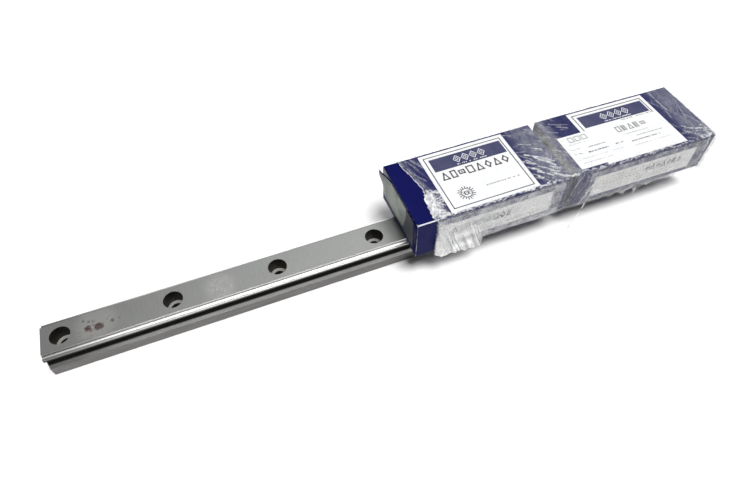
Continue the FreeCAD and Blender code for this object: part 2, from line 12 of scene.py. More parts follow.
import bpy
import numpy as np
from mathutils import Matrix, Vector

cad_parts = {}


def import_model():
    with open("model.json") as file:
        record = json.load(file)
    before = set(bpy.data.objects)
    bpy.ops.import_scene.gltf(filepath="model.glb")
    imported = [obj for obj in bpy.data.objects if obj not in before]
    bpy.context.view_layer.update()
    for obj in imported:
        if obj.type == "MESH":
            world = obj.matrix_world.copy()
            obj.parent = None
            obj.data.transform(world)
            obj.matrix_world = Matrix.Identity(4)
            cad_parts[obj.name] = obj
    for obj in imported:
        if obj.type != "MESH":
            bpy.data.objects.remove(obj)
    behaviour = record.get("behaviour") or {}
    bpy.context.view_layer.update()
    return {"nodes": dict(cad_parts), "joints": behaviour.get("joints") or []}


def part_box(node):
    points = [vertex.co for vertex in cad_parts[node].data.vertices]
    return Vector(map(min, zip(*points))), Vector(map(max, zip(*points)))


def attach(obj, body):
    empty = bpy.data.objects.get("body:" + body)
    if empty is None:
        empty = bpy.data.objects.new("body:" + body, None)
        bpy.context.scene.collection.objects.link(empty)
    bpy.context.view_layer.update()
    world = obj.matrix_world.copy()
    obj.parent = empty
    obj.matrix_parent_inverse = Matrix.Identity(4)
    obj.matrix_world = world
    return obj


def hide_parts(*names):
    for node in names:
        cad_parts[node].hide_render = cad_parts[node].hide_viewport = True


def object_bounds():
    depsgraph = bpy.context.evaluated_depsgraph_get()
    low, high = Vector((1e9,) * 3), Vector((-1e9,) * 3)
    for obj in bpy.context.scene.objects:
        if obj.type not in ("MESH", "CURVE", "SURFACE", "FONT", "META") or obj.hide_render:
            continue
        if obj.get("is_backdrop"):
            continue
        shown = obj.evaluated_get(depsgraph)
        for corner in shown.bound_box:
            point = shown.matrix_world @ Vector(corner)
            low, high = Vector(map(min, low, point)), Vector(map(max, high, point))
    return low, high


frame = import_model()
NODES = frame["nodes"]
MM = 0.001


# ---------------------------------------------------------------- meshes


def make_mesh(name, points, faces, materials, index=None, smooth=True, values=None):
    """A mesh object from points in millimetres. index picks each face's material, and values
    are named numbers for each point."""
    mesh = bpy.data.meshes.new(name)
    points = np.asarray(points, float) * MM
    mesh.from_pydata(points.tolist(), [], [list(map(int, f)) for f in faces])
    for material in materials:
        mesh.materials.append(material)
    if index is not None:
        mesh.polygons.foreach_set("material_index", np.asarray(index, np.int32))
    mesh.polygons.foreach_set("use_smooth", np.full(len(mesh.polygons), smooth))
    for key, numbers in (values or {}).items():
        attribute = mesh.attributes.new(key, "FLOAT", "POINT")
        attribute.data.foreach_set("value", np.asarray(numbers, np.float32).ravel())
    mesh.update()
    obj = bpy.data.objects.new(name, mesh)
    bpy.context.scene.collection.objects.link(obj)
    return obj


def grid_faces(rows, columns, keep=None, closed=False):
    """Quads of a grid of points, row after row, where keep says so. A closed grid joins its
    last column to its first."""
    r, c = np.meshgrid(np.arange(rows - 1), np.arange(columns - (not closed)), indexing="ij")
    if keep is not None:
        r, c = r[keep], c[keep]
    n = (c + 1) % columns
    corners = (r * columns + c, (r + 1) * columns + c, (r + 1) * columns + n, r * columns + n)
    return np.stack([k.ravel() for k in corners], 1)


def thick_sheet(front, back, keep=None):
    """Points and faces of a sheet with two sides and a rim. front and back are grids of
    points, and keep says which cells are there. The third result marks rim faces 1 and
    back faces 2."""
    rows, columns = front.shape[:2]
    total = rows * columns
    points = np.concatenate([front.reshape(-1, 3), back.reshape(-1, 3)])
    cells = grid_faces(rows, columns, keep)
    faces = [list(f) for f in cells]
    kinds = [0] * len(faces)
    faces += [[i + total for i in f[::-1]] for f in cells]
    kinds += [2] * len(cells)
    uses = {}
    for f in cells:
        for a, b in zip(f, np.roll(f, -1)):
            key = (min(a, b), max(a, b))
            uses[key] = None if key in uses else (a, b)
    for edge in uses.values():
        if edge is not None:
            a, b = edge
            faces.append([b, a, a + total, b + total])
            kinds.append(1)
    return points, faces, kinds


def smoothstep(low, high, x):
    t = np.clip((np.asarray(x, float) - low) / (high - low), 0, 1)
    return t * t * (3 - 2 * t)


def noise(a, b, seed, wrap=256):
    """Smooth noise from 0 to 1 with one value at each whole step of a and b."""
    table = np.random.default_rng(seed).random((256, 256))
    a, b = np.broadcast_arrays(np.asarray(a, float), np.asarray(b, float))
    i, j = np.floor(a).astype(int), np.floor(b).astype(int)
    s, t = a - i, b - j
    s, t = s * s * (3 - 2 * s), t * t * (3 - 2 * t)
    i0, i1, j0, j1 = i % wrap, (i + 1) % wrap, j % 256, (j + 1) % 256
    low = table[i0, j0] * (1 - s) + table[i1, j0] * s
    high = table[i0, j1] * (1 - s) + table[i1, j1] * s
    return low * (1 - t) + high * t


# ---------------------------------------------------------------- materials


class Look:
    """A Principled material with a few node helpers."""

    def __init__(self, name, color, roughness, metallic=0.0, **sockets):
        self.material = bpy.data.materials.new(name)
        self.material.use_nodes = True
        self.tree = self.material.node_tree
        self.surface = self.tree.nodes["Principled BSDF"]
        self.set(color, "Base Color")
        self.set(roughness, "Roughness")
        self.set(metallic, "Metallic")
        for key, value in sockets.items():
            self.set(value, key.replace("_", " "))

    def feed(self, socket, value):
        """Give a socket a number, a colour, a vector or another node's output."""
        if isinstance(value, bpy.types.NodeSocket):
            self.tree.links.new(value, socket)
        elif socket.type == "RGBA":
            socket.default_value = (*value[:3], 1.0)
        else:
            socket.default_value = value

    def set(self, value, socket):
        self.feed(self.surface.inputs[socket], value)

    def node(self, kind, inputs=(), **settings):
        made = self.tree.nodes.new(kind)
        for key, value in settings.items():
            setattr(made, key, value)
        for key, value in dict(inputs).items():
            self.feed(made.inputs[key], value)
        return made

    def math(self, operation, a, b=0.0, clamp=False):
        return self.node(
            "ShaderNodeMath", {0: a, 1: b}, operation=operation, use_clamp=clamp
        ).outputs[0]

    def times(self, *values):
        """The product of the values."""
        product = values[0]
        for value in values[1:]:
            product = self.math("MULTIPLY", product, value)
        return product

    def vector(self, operation, *inputs, output=0):
        """A vector operation. Output 1 is the number that LENGTH and DISTANCE give."""
        return self.node(
            "ShaderNodeVectorMath", enumerate(inputs), operation=operation
        ).outputs[output]

    def combine(self, *parts):
        """A vector from its x, y and z."""
        return self.node("ShaderNodeCombineXYZ", enumerate(parts)).outputs[0]

    def place(self, stretch=(1, 1, 1)):
        """Object coordinates in millimetres, times stretch."""
        here = self.node("ShaderNodeTexCoord").outputs["Object"]
        return self.vector("MULTIPLY", here, [1000 * s for s in stretch])

    def noise(self, size, detail=3.0, stretch=(1, 1, 1), roughness=0.55):
        """Noise with features of about size millimetres."""
        inputs = {
            "Vector": self.place(stretch), "Scale": 1 / size,
            "Detail": detail, "Roughness": roughness,
        }
        return self.node("ShaderNodeTexNoise", inputs).outputs["Fac"]

    def attribute(self, name):
        return self.node("ShaderNodeAttribute", attribute_name=name).outputs["Fac"]

    def band(self, value, low, high, start=0.0, end=1.0):
        """value, smoothly from low to high, as a number from start to end."""
        inputs = {"Value": value, "From Min": low, "From Max": high, "To Min": start, "To Max": end}
        return self.node(
            "ShaderNodeMapRange", inputs, interpolation_type="SMOOTHSTEP"
        ).outputs["Result"]

    def mix(self, share, a, b):
        """Colour a, or b where share is 1."""
        return self.node("ShaderNodeMix", {0: share, 6: a, 7: b}, data_type="RGBA").outputs[2]

    def bump(self, height, distance, strength=1.0, normal=None):
        """Roughen the surface by height times distance millimetres."""
        inputs = {"Height": height, "Distance": distance * MM, "Strength": strength}
        if normal is not None:
            inputs["Normal"] = normal
        self.set(self.node("ShaderNodeBump", inputs).outputs["Normal"], "Normal")


NAVY = (0.0024, 0.0038, 0.066)
NAVY_LIGHT = (0.0040, 0.0055, 0.078)
WORN = (0.62, 0.64, 0.68)


def board_print():
    """Coated board printed dark blue, pale where a fold has worn through."""
    look = Look("board_print", NAVY, 0.38, Specular_IOR_Level=0.06)
    print_ink = look.mix(look.band(look.noise(14.0, 4.0), 0.35, 0.75), NAVY, NAVY_LIGHT)
    speck = look.band(look.noise(0.35, 2.0), 0.72, 0.78)
    print_ink = look.mix(look.times(speck, 0.10), print_ink, WORN)
    ragged = look.times(look.noise(0.6, 3.0), 0.7)
    worn = look.band(look.math("SUBTRACT", look.attribute("wear"), ragged), 0.02, 0.16)
    look.set(look.mix(worn, print_ink, WORN), "Base Color")
    look.set(look.band(look.noise(5.0, 3.0), 0.3, 0.8, 0.32, 0.48), "Roughness")
    look.bump(look.noise(0.5, 4.0), 0.02, 0.35)
    return look.material


def board_raw():
    """Cut edges and the unprinted side of the board."""
    look = Look("board_raw", (0.55, 0.56, 0.54), 0.85)
    fibre = look.noise(0.25, 4.0, (0.3, 1, 1))
    look.set(look.mix(fibre, (0.44, 0.45, 0.43), (0.66, 0.67, 0.65)), "Base Color")
    look.bump(fibre, 0.04, 0.6)
    return look.material


def paper(name, color, shade, painted_shade=None):
    """Label paper with a fine tooth and slight uneven toning, and painted shade where the mesh's
    painted_shade value says so."""
    look = Look(name, color, 0.55, Specular_IOR_Level=0.35)
    toned = look.mix(look.band(look.noise(9.0, 4.0), 0.35, 0.7), color, shade)
    if painted_shade is not None:
        uneven = look.times(look.noise(1.2, 4.0, (1, 1, 0.3)), 0.5)
        share = look.band(look.math("SUBTRACT", look.attribute("painted_shade"), uneven), 0.0, 0.3)
        toned = look.mix(share, toned, painted_shade)
    look.set(toned, "Base Color")
    look.bump(look.noise(0.22, 3.0), 0.012, 0.4)
    return look.material


def ink(name, color, cover=0.9):
    """Print on paper, broken up a little where the paper's tooth shows."""
    look = Look(name, color, 0.5, Specular_IOR_Level=0.3)
    gaps = look.band(look.noise(0.3, 3.0), 0.60, 0.74)
    look.set(look.mix(look.times(gaps, 1 - cover), color, (0.7, 0.7, 0.7)), "Base Color")
    return look.material


def stretch_film(name, tint, roughness):
    """Clear film. The mesh's value for each point says how milky it is, and along creases and edges
    it also stands for painted highlights.
    """
    look = Look(name, tint, roughness, Specular_IOR_Level=0.6)
    uneven = look.band(look.noise(0.9, 4.0, (1, 0.6, 1)), 0.3, 0.75, 0.7, 1.3)
    look.set(look.math("MULTIPLY", look.attribute("milk_and_sheen"), uneven, clamp=True), "Alpha")
    look.bump(look.noise(0.7, 3.0), 0.05, 0.5)
    return look.material


# The rail's bolt holes, its raceways as y, z of the arcs' centres, and the marks on its top as
# x, y, size, tint and share.
HOLE_PITCH = 60.0
RACES = ((10.6, 18.1), (10.9, 11.6))
RACE_RADIUS = 2.06
RAIL_MARKS = (
    (17.2, -0.2, 0.5, (0.06, 0.02, 0.02), 0.8),
    (22.2, -3.4, 0.5, (0.07, 0.02, 0.02), 0.8),
    (24.6, 1.2, 0.6, (0.09, 0.04, 0.03), 0.6),
    (9.6, -4.6, 0.45, (0.05, 0.02, 0.02), 0.7),
    (14.3, -1.2, 1.7, (0.035, 0.009, 0.009), 1.0),
    (20.0, -2.1, 2.1, (0.030, 0.006, 0.007), 1.0),
    (15.8, -3.4, 0.8, (0.06, 0.02, 0.02), 0.8),
    (12.2, 4.3, 0.7, (0.03, 0.025, 0.02), 0.9),
    (15.0, 2.8, 0.8, (0.04, 0.03, 0.025), 0.8),
    (17.3, 2.3, 0.9, (0.05, 0.03, 0.025), 0.7),
    (27.2, -0.8, 1.0, (0.03, 0.025, 0.02), 0.9),
    (30.9, -0.4, 0.8, (0.07, 0.06, 0.055), 0.8),
    (26.0, 2.6, 0.6, (0.07, 0.06, 0.05), 0.6),
    (16.0, -6.6, 0.7, (0.08, 0.05, 0.045), 0.7),
    (60.0, 5.9, 0.5, (0.06, 0.05, 0.04), 0.8),
)


def rail_steel():
    """Ground steel: cross-ground top, bright raceways, a near-black waist (dark scale and painted
    shade), grey base and painted shade in the holes, with a few rust marks, dull spots near the
    left end, and sides painted darker towards the left end as painted shade."""
    look = Look("rail_steel", (0.5, 0.5, 0.47), 0.3, 1.0, Specular_IOR_Level=0.08)
    x, y, z = look.node("ShaderNodeSeparateXYZ", {0: look.place()}).outputs
    normal = look.node("ShaderNodeTexCoord").outputs["Normal"]
    facing = look.node("ShaderNodeSeparateXYZ", {0: normal}).outputs[2]
    up = look.band(look.math("ABSOLUTE", facing), 0.93, 0.985)
    top = look.times(up, look.band(z, 17.6, 17.9))
    half_wide = look.math("ABSOLUTE", y)

    cross = look.noise(0.16, 3.0, (1, 0.03, 0.03), 0.7)
    along = look.noise(0.10, 3.0, (0.012, 1, 1), 0.7)
    steel = look.mix(look.band(along, 0.3, 0.7), (0.62, 0.62, 0.61), (0.80, 0.80, 0.78))
    ground = look.mix(look.band(cross, 0.25, 0.75), (0.40, 0.41, 0.395), (0.54, 0.545, 0.525))
    patch = look.band(look.noise(22.0, 3.0, (0.5, 1, 1)), 0.35, 0.7)
    ground = look.mix(look.times(patch, 0.5), ground, (0.48, 0.50, 0.49))
    # Near the left end the sides are painted darker: painted shade for the weaker reflections
    # there.
    steel = look.mix(look.band(x, 45.0, -10.0, 0.0, 0.7), steel, (0.16, 0.16, 0.155))
    color = look.mix(top, steel, ground)

    # The waist is painted near-black: partly dark scale, partly painted shade under the rail's
    # head.
    waist = look.times(
        look.band(z, 8.2, 9.2), look.band(z, 16.8, 14.3), look.band(half_wide, 8.0, 8.3)
    )
    waist_scale_and_shade = look.mix(look.noise(1.5, 4.0), (0.010, 0.010, 0.010), (0.03, 0.029, 0.028))
    color = look.mix(waist, color, waist_scale_and_shade)
    base = look.times(look.band(z, 7.1, 6.7), look.band(half_wide, 11.0, 11.3))
    mill = look.noise(1.8, 4.0, (0.15, 1, 1))
    mill = look.mix(mill, (0.14, 0.136, 0.136), (0.26, 0.255, 0.25))
    color = look.mix(base, color, mill)

    # The holes' walls are painted near-black as painted shade inside the bores, and the
    # counterbores' ledges bright.
    turn = look.math("MODULO", look.math("ADD", x, HOLE_PITCH / 2), HOLE_PITCH)
    from_hole = look.combine(look.math("SUBTRACT", turn, HOLE_PITCH / 2), y)
    reach = look.vector("LENGTH", from_hole, output=1)
    hole = look.times(look.band(reach, 5.62, 5.52), look.band(z, 17.97, 17.7))
    painted_hole_shade = look.mix(look.noise(0.8, 3.0), (0.004, 0.004, 0.003), (0.02, 0.018, 0.015))
    color = look.mix(hole, color, painted_hole_shade)
    ledge = look.times(hole, up, look.band(z, 9.6, 9.2))
    color = look.mix(ledge, color, (0.55, 0.54, 0.50))

    ragged = look.noise(0.8, 4.0)
    flat = look.combine(x, y)

    def spot(cx, cy, size):
        """1 inside a ragged round mark."""
        away = look.vector("DISTANCE", flat, (cx, cy, 0), output=1)
        edge = look.math("ADD", away, look.times(ragged, size * 1.6))
        return look.band(edge, size * 2.3, size * 1.6)

    # matt says where the surface is not bare metal.
    matt = look.times(hole, look.math("SUBTRACT", 0.95, look.times(ledge, 0.7)))
    dull = look.math("MAXIMUM", spot(19.0, 0.5, 9.0), spot(86.0, -1.0, 8.0))
    dull = look.times(dull, 0.22, top)
    color = look.mix(dull, color, (0.42, 0.39, 0.37))
    speck = look.band(look.noise(0.45, 3.0), 0.36, 0.50, 0.25, 1.0)
    for cx, cy, size, tint, share in RAIL_MARKS:
        mark = look.times(spot(cx, cy, size), share, speck, top)
        color = look.mix(mark, color, tint)
        matt = look.math("MAXIMUM", matt, mark)
    grains = look.band(look.noise(0.7, 2.0), 0.60, 0.66)
    crumbs = look.times(spot(87.0, -1.5, 7.0), grains, top, 0.8)
    look.set(look.mix(crumbs, color, (0.62, 0.61, 0.62)), "Base Color")
    look.set(look.math("SUBTRACT", 1.0, look.math("MAXIMUM", matt, crumbs)), "Metallic")

    rough = look.band(along, 0.2, 0.8, 0.34, 0.46)
    rough = look.math("SUBTRACT", rough, look.times(top, 0.04))
    rough = look.math("ADD", rough, look.times(look.math("MAXIMUM", base, waist), 0.20))
    look.set(look.math("ADD", rough, look.times(dull, 0.4)), "Roughness")

    # The two ground raceways on each side are true arcs.
    hand = look.math("SIGN", y)
    for centre_y, centre_z in RACES:
        across = look.math("SUBTRACT", look.times(hand, centre_y), y)
        inward = look.combine(0.0, across, look.math("SUBTRACT", centre_z, z))
        away = look.vector("LENGTH", inward, output=1)
        off = look.math("ABSOLUTE", look.math("SUBTRACT", away, RACE_RADIUS))
        inputs = {0: look.band(off, 0.12, 0.06), 4: normal, 5: look.vector("NORMALIZE", inward)}
        normal = look.node("ShaderNodeMix", inputs, data_type="VECTOR").outputs[1]
    normal = look.node(
        "ShaderNodeVectorTransform", {0: normal},
        vector_type="NORMAL", convert_from="OBJECT", convert_to="WORLD",
    ).outputs[0]
    height = look.math("ADD", look.times(cross, top), look.times(along, 0.5))
    look.bump(height, 0.006, 0.5, normal)
    return look.material


def metal(name, color, darker, roughness, size=0.2, stretch=(1, 1, 1)):
    """Machined metal with marks of the tool."""
    look = Look(name, color, roughness, 1.0)
    marks = look.noise(size, 3.0, stretch)
    look.set(look.mix(look.band(marks, 0.3, 0.7), color, darker), "Base Color")
    rough = look.band(look.noise(3.0, 3.0), 0.3, 0.7, roughness * 0.8, roughness * 1.3)
    look.set(rough, "Roughness")
    look.bump(marks, 0.01, 0.4)
    return look.material


def plastic(name, color, lighter, roughness):
    """Moulded plastic or rubber with a fine grain."""
    look = Look(name, color, roughness)
    look.set(look.mix(look.band(look.noise(2.5, 4.0), 0.35, 0.7), color, lighter), "Base Color")
    look.bump(look.noise(0.25, 3.0), 0.02, 0.4)
    return look.material


PRINTED, RAW = board_print(), board_raw()
LABEL = paper("label_white", (0.76, 0.765, 0.765), (0.72, 0.73, 0.735))
# The near side's label paper is a darker copy of the top label's: painted shade on the near side.
LABEL_SIDE_SHADED = paper("label_side_shaded", (0.68, 0.67, 0.66), (0.60, 0.61, 0.60))
# The last colour of the end label is painted shade.
LABEL_END = paper("label_end", (0.36, 0.39, 0.35), (0.22, 0.25, 0.23), (0.045, 0.05, 0.07))
INK_FRAME = ink("ink_frame", (0.02, 0.02, 0.045))
INK_BAND = ink("ink_band", (0.018, 0.021, 0.085), 0.97)
INK_CODE = ink("ink_code", (0.075, 0.06, 0.075), 0.85)
INK_PALE = ink("ink_pale", (0.22, 0.22, 0.21), 0.8)
INK_FINE = ink("ink_fine", (0.03, 0.03, 0.05), 0.9)
INK_WHITE = paper("ink_white", (0.76, 0.76, 0.77), (0.70, 0.71, 0.74))
FILM = stretch_film("stretch_film", (0.86, 0.87, 0.88), 0.17)
FILM_MILKY = stretch_film("stretch_film_milky", (0.95, 0.955, 0.95), 0.25)

DRAWN = (0.05, 1, 1)
LOOKS = {
    "block": metal("block_steel", (0.56, 0.56, 0.54), (0.40, 0.40, 0.385), 0.28, 0.15, DRAWN),
    "end_plate": plastic("end_plate_plastic", (0.012, 0.013, 0.014), (0.03, 0.031, 0.032), 0.42),
    "seal": plastic("seal_rubber", (0.07, 0.012, 0.010), (0.11, 0.022, 0.018), 0.6),
    "balls": metal("ball_steel", (0.72, 0.72, 0.72), (0.60, 0.60, 0.61), 0.08, 1.5),
    "retainers": metal("retainer_steel", (0.50, 0.50, 0.49), (0.36, 0.36, 0.35), 0.33, 0.2, DRAWN),
    "screws": metal("screw_steel", (0.05, 0.05, 0.052), (0.10, 0.10, 0.10), 0.4, 0.4),
    "nipple": metal("nipple_brass", (0.60, 0.47, 0.22), (0.42, 0.32, 0.15), 0.3, 0.3),
    "plug": plastic("plug_plastic", (0.02, 0.02, 0.021), (0.045, 0.045, 0.046), 0.5),
    "jig": plastic("jig_plastic", (0.62, 0.60, 0.54), (0.72, 0.70, 0.63), 0.45),
}


def paint(node, material):
    """Give a CAD node one material."""
    slots = NODES[node].data.materials
    for i in range(len(slots)):
        slots[i] = material
    if not len(slots):
        slots.append(material)


paint("guide_rail", rail_steel())
for node in NODES:
    if "dust_flaps" in node:
        paint(node, RAW)
    elif node.startswith("mounting_jig"):
        paint(node, LOOKS["jig"])
    elif node.startswith("carriage_"):
        for word, look in LOOKS.items():
            if word in node:
                paint(node, look)
    elif node.endswith("side_label"):
        paint(node, LABEL_SIDE_SHADED)
    elif node.endswith(("top_label", "over_label")):
        paint(node, LABEL)


# ---------------------------------------------------------------- cartons


def packed_box(node):
    """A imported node's low and high corners in millimetres."""
    return (np.array(p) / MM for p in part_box(node))


low, high = packed_box("carton_1_sleeve")
LENGTH, WIDTH, HEIGHT = high - low
axis = next(j["axis"] for j in frame["joints"] if j["name"] == "carriage_2_slide")
YAW = math.atan2(axis[1], axis[0])
UP = np.array([0, 0, 1.0])
# The board's thickness, the panels' play in the sleeve and the folds' radius. Then how far the
# panels' shoulders lie below the top, and the tuck flaps' half width and length.
BOARD, PLAY, CREASE = 0.45, 0.1, 0.9
SHOULDER, TUCK_HALF, TUCK_LENGTH = 1.3, 12.0, 8.0
AJAR_SEED = 51
PAPER = 0.1


class Carton:
    """A carton's own frame, from its packed sleeve."""

    def __init__(self, number, yaw):
        low, high = packed_box(f"carton_{number}_sleeve")
        self.number = number
        self.along = np.array([math.cos(yaw), math.sin(yaw), 0])
        self.across = np.array([-math.sin(yaw), math.cos(yaw), 0])
        middle = (low + high) / 2
        self.origin = np.array([middle[0], middle[1], low[2]]) - self.along * LENGTH / 2

    def place(self, points):
        """Points of the carton's frame in the part's frame."""
        p = np.asarray(points, float)
        return self.origin + p[..., :1] * self.along + p[..., 1:2] * self.across + p[..., 2:] * UP


ONE, TWO = Carton(1, 0.0), Carton(2, YAW)


def rounded_box(half, height, radius, step, turns=5):
    """Outline (y, z) of a rounded rectangle, its outward normals, and how near each point is
    to the middle of a corner."""
    points, normals, corner = [], [], []
    centres = (
        (-half + radius, height - radius, 180, 90),
        (half - radius, height - radius, 90, 0),
        (half - radius, radius, 0, -90),
        (-half + radius, radius, -90, -180),
    )
    for k, (cy, cz, start, end) in enumerate(centres):
        for i in range(turns + 1):
            a = math.radians(start + (end - start) * i / turns)
            points.append((cy + radius * math.cos(a), cz + radius * math.sin(a)))
            normals.append((math.cos(a), math.sin(a)))
            corner.append(1 - abs(2 * i / turns - 1))
        a = math.radians(end)
        straight = np.array((math.cos(a), math.sin(a)))
        first = np.array(points[-1])
        last = np.array(centres[(k + 1) % 4][:2]) + radius * straight
        count = max(2, round(np.linalg.norm(last - first) / step))
        for i in range(1, count):
            points.append(tuple(first + (last - first) * i / count))
            normals.append(tuple(straight))
            corner.append(0)
    return np.array(points), np.array(normals), np.array(corner)


def sleeve(carton, wear_of):
    """The carton's four panels as one folded tube, with soft creases and cut edges."""
    outline, normals, corner = rounded_box(WIDTH / 2, HEIGHT, CREASE, 1.6)
    count = len(outline)
    inside = np.linspace(1.2, LENGTH - 1.2, 60)
    xs = np.concatenate([[0, 0.4], inside, [LENGTH - 0.4, LENGTH]])
    grid_x, grid_i = np.meshgrid(xs, np.arange(count), indexing="ij")
    flat = 1 - np.minimum(1, corner + (np.roll(corner, 1) + np.roll(corner, -1)))[grid_i]
    dent = flat * 0.16 * noise(grid_x / 17, grid_i / 9, 11 + carton.number, count)
    dent += 0.10 * (1 - flat) * noise(grid_x / 5, grid_i / 3, 21 + carton.number)
    ragged = 0.12 * (noise(grid_i / 2, 0 * grid_x, 31 + carton.number) - 0.5)
    ends = (grid_x < 0.1) * 1.0 - (grid_x > LENGTH - 0.1) * 1.0
    y, z = outline[grid_i, 0], outline[grid_i, 1]

    def wall(depth):
        inward = dent + depth
        moved = [y - normals[grid_i, 0] * inward, z - normals[grid_i, 1] * inward]
        return np.stack([grid_x + ragged * ends, *moved], -1).reshape(-1, 3)

    points = carton.place(np.concatenate([wall(0), wall(BOARD)]))
    total = len(xs) * count
    faces, index = [], []
    for r in range(len(xs) - 1):
        for i in range(count):
            j = (i + 1) % count
            quad = [r * count + i, r * count + j, (r + 1) * count + j, (r + 1) * count + i]
            faces += [quad, [k + total for k in quad[::-1]]]
            index += [0, 1]
    for r, flip in ((0, 1), (len(xs) - 1, -1)):
        for i in range(count):
            a, b = r * count + i, r * count + (i + 1) % count
            faces.append([a, a + total, b + total, b][::flip])
            index.append(0)
    wear = np.tile(np.clip(wear_of(grid_x, y, z, corner[grid_i]), 0, 1).ravel(), 2)
    obj = make_mesh(
        f"carton_{carton.number}_box", points, faces, [PRINTED, RAW], index, values={"wear": wear}
    )
    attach(obj, "pack")
    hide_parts(f"carton_{carton.number}_sleeve")


def wear_one(x, y, z, corner):
    """Carton 1: the bare left end has worn pale along its folds and cut edge."""
    bare = smoothstep(14, 11, x)
    near_top = (y < 0) & (z > HEIGHT / 2)
    fold = corner * (0.18 + 0.9 * bare * near_top + 0.35 * noise(x / 3, y / 9, 41))
    cut = smoothstep(0.5, 0.0, x) * (y < -WIDTH / 2 + 1) * (0.30 + 0.4 * noise(z / 2, y / 2, 42))
    return np.maximum(fold * np.where(bare > 0, 1, 0.7), cut)


def wear_two(x, y, z, corner):
    """Carton 2: light rubbing along the folds."""
    return corner * (0.15 + 0.45 * noise(x / 4, y / 9, 43))


sleeve(ONE, wear_one)
sleeve(TWO, wear_two)


def ajar(y, z):
    """How far the opening panel stands out of the carton: its far top corner is bent out."""
    ear = smoothstep(11.5, 25, y) * smoothstep(9, 26, z) * 2.7
    belly = 0.25 * smoothstep(4, 14, z) * smoothstep(27, 20, z)
    corner = 0.5 * smoothstep(-15, -25, y) * smoothstep(12, 26, z)
    return ear + belly + corner


def ripple(y, z, seed):
    """The board's slight unevenness, which fades at its bottom crease."""
    return 0.08 * (noise(y / 6, z / 6, seed) - 0.5) * smoothstep(0, 4, z)


def closure(carton, end, body, bulge, slope, seed, worn=1.0):
    """An end panel with its tuck flap, creased to the bottom panel. end is "left" or "right",
    bulge gives how far the panel stands out at y, z, and slope is the tuck flap's in degrees."""
    half = WIDTH / 2 - BOARD - PLAY
    low, shoulder = BOARD + 0.02, HEIGHT - BOARD - 0.05 - SHOULDER
    top, radius = HEIGHT - BOARD - 0.12, 0.75
    ys = np.concatenate([np.linspace(-half, half, 57), [-TUCK_HALF, TUCK_HALF]])
    ys = np.unique(np.round(ys, 4))
    zs = np.linspace(low, shoulder, 26)
    # The panel's course as x, z and its outward direction.
    path = [(0.0, z, -1.0, 0.0) for z in zs]
    path.append((0.0, top - radius, -1.0, 0.0))
    for i in range(1, 6):
        a = math.radians(180 - 90 * i / 5)
        c, s = math.cos(a), math.sin(a)
        path.append((radius + radius * c, top - radius + radius * s, c, s))
    fall = math.tan(math.radians(slope))
    for i in range(1, 9):
        reach = (TUCK_LENGTH - radius) * i / 8
        path.append((radius + reach, top - reach * fall, 0.0, 1.0))
    path = np.array(path)
    rows, columns = len(path), len(ys)
    y = np.broadcast_to(ys, (rows, columns))
    base_x, base_z = (np.broadcast_to(path[:, k : k + 1], (rows, columns)) for k in (0, 1))
    out = bulge(y, base_z) * smoothstep(3.0, 0.0, base_x) + ripple(y, base_z, seed)
    tuck = (base_x > radius) * 0.04 * (base_x - radius)
    tucked = np.sign(y) * np.minimum(np.abs(y), TUCK_HALF - tuck)
    front = np.stack([base_x - out, np.where(base_x > 0.01, tucked, y), base_z], -1)
    back = front - np.stack([path[:, 2], np.zeros(rows), path[:, 3]], -1)[:, None, :] * BOARD
    keep = np.ones((rows - 1, columns - 1), bool)
    keep[len(zs) - 1 :] = (np.abs((ys[:-1] + ys[1:]) / 2) < TUCK_HALF)[None, :]
    if end == "right":
        for side in (front, back):
            side[..., 0] = LENGTH - side[..., 0]
    points, faces, kinds = thick_sheet(carton.place(front), carton.place(back), keep)
    crease = smoothstep(0.9, 0.0, np.abs(base_z - top + 0.2)) * (base_x < 1.5)
    edge = smoothstep(0.8, 0.0, half - np.abs(y)) * 0.3
    wear = np.maximum(crease * 0.4, edge) * (0.6 + 0.6 * noise(y / 1.5, base_z / 1.5, seed + 1))
    wear = np.tile(wear.ravel(), 2) * worn
    index = [1 if kind == 2 else 0 for kind in kinds]
    name = f"carton_{carton.number}_end_{end}"
    obj = make_mesh(name, points, faces, [PRINTED, RAW], index, values={"wear": wear})
    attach(obj, body)
    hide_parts(f"carton_{carton.number}_closure_{end}")


def shut(y, z):
    """A panel that is held shut lies flat."""
    return 0.0 * y


closure(ONE, "left", "end_flap_1", ajar, 12.0, AJAR_SEED)
closure(ONE, "right", "pack", shut, 0.0, 53, 0.3)
closure(TWO, "left", "pack", shut, 0.0, 55, 0.3)
closure(TWO, "right", "pack", shut, 0.0, 57)


def end_label():
    """The pale label on the opening end, which follows the panel's bend."""
    ys, zs = np.linspace(-20.6, 24.2, 40), np.linspace(4.0, 25.2, 22)
    z, y = np.meshgrid(zs, ys, indexing="ij")
    out = ajar(y, z) + ripple(y, z, AJAR_SEED)
    lift = 0.05 + 0.25 * smoothstep(21, 24.2, y) * smoothstep(16, 25, z)
    front = np.stack([-out - lift - PAPER, y, z], -1)
    back = np.stack([-out - lift, y, z], -1)
    points, faces, _ = thick_sheet(ONE.place(front), ONE.place(back))
    # Painted shade: the end label is darker towards its near side and its bottom, and a little at
    # its top.
    painted_shade = 0.9 * smoothstep(-5, -13, y + 0.25 * (z - 14)) + 0.5 * smoothstep(9, 4, z)
    painted_shade = np.tile((painted_shade + 0.25 * smoothstep(20, 25, z)).ravel(), 2)
    obj = make_mesh("carton_1_end_paper", points, faces, [LABEL_END], values={"painted_shade": painted_shade})
    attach(obj, "end_flap_1")
    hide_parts("carton_1_end_label")


end_label()


# ---------------------------------------------------------------- print


def rect(x0, y0, x1, y1):
    return [(x0, y0), (x1, y0), (x1, y1), (x0, y1)]


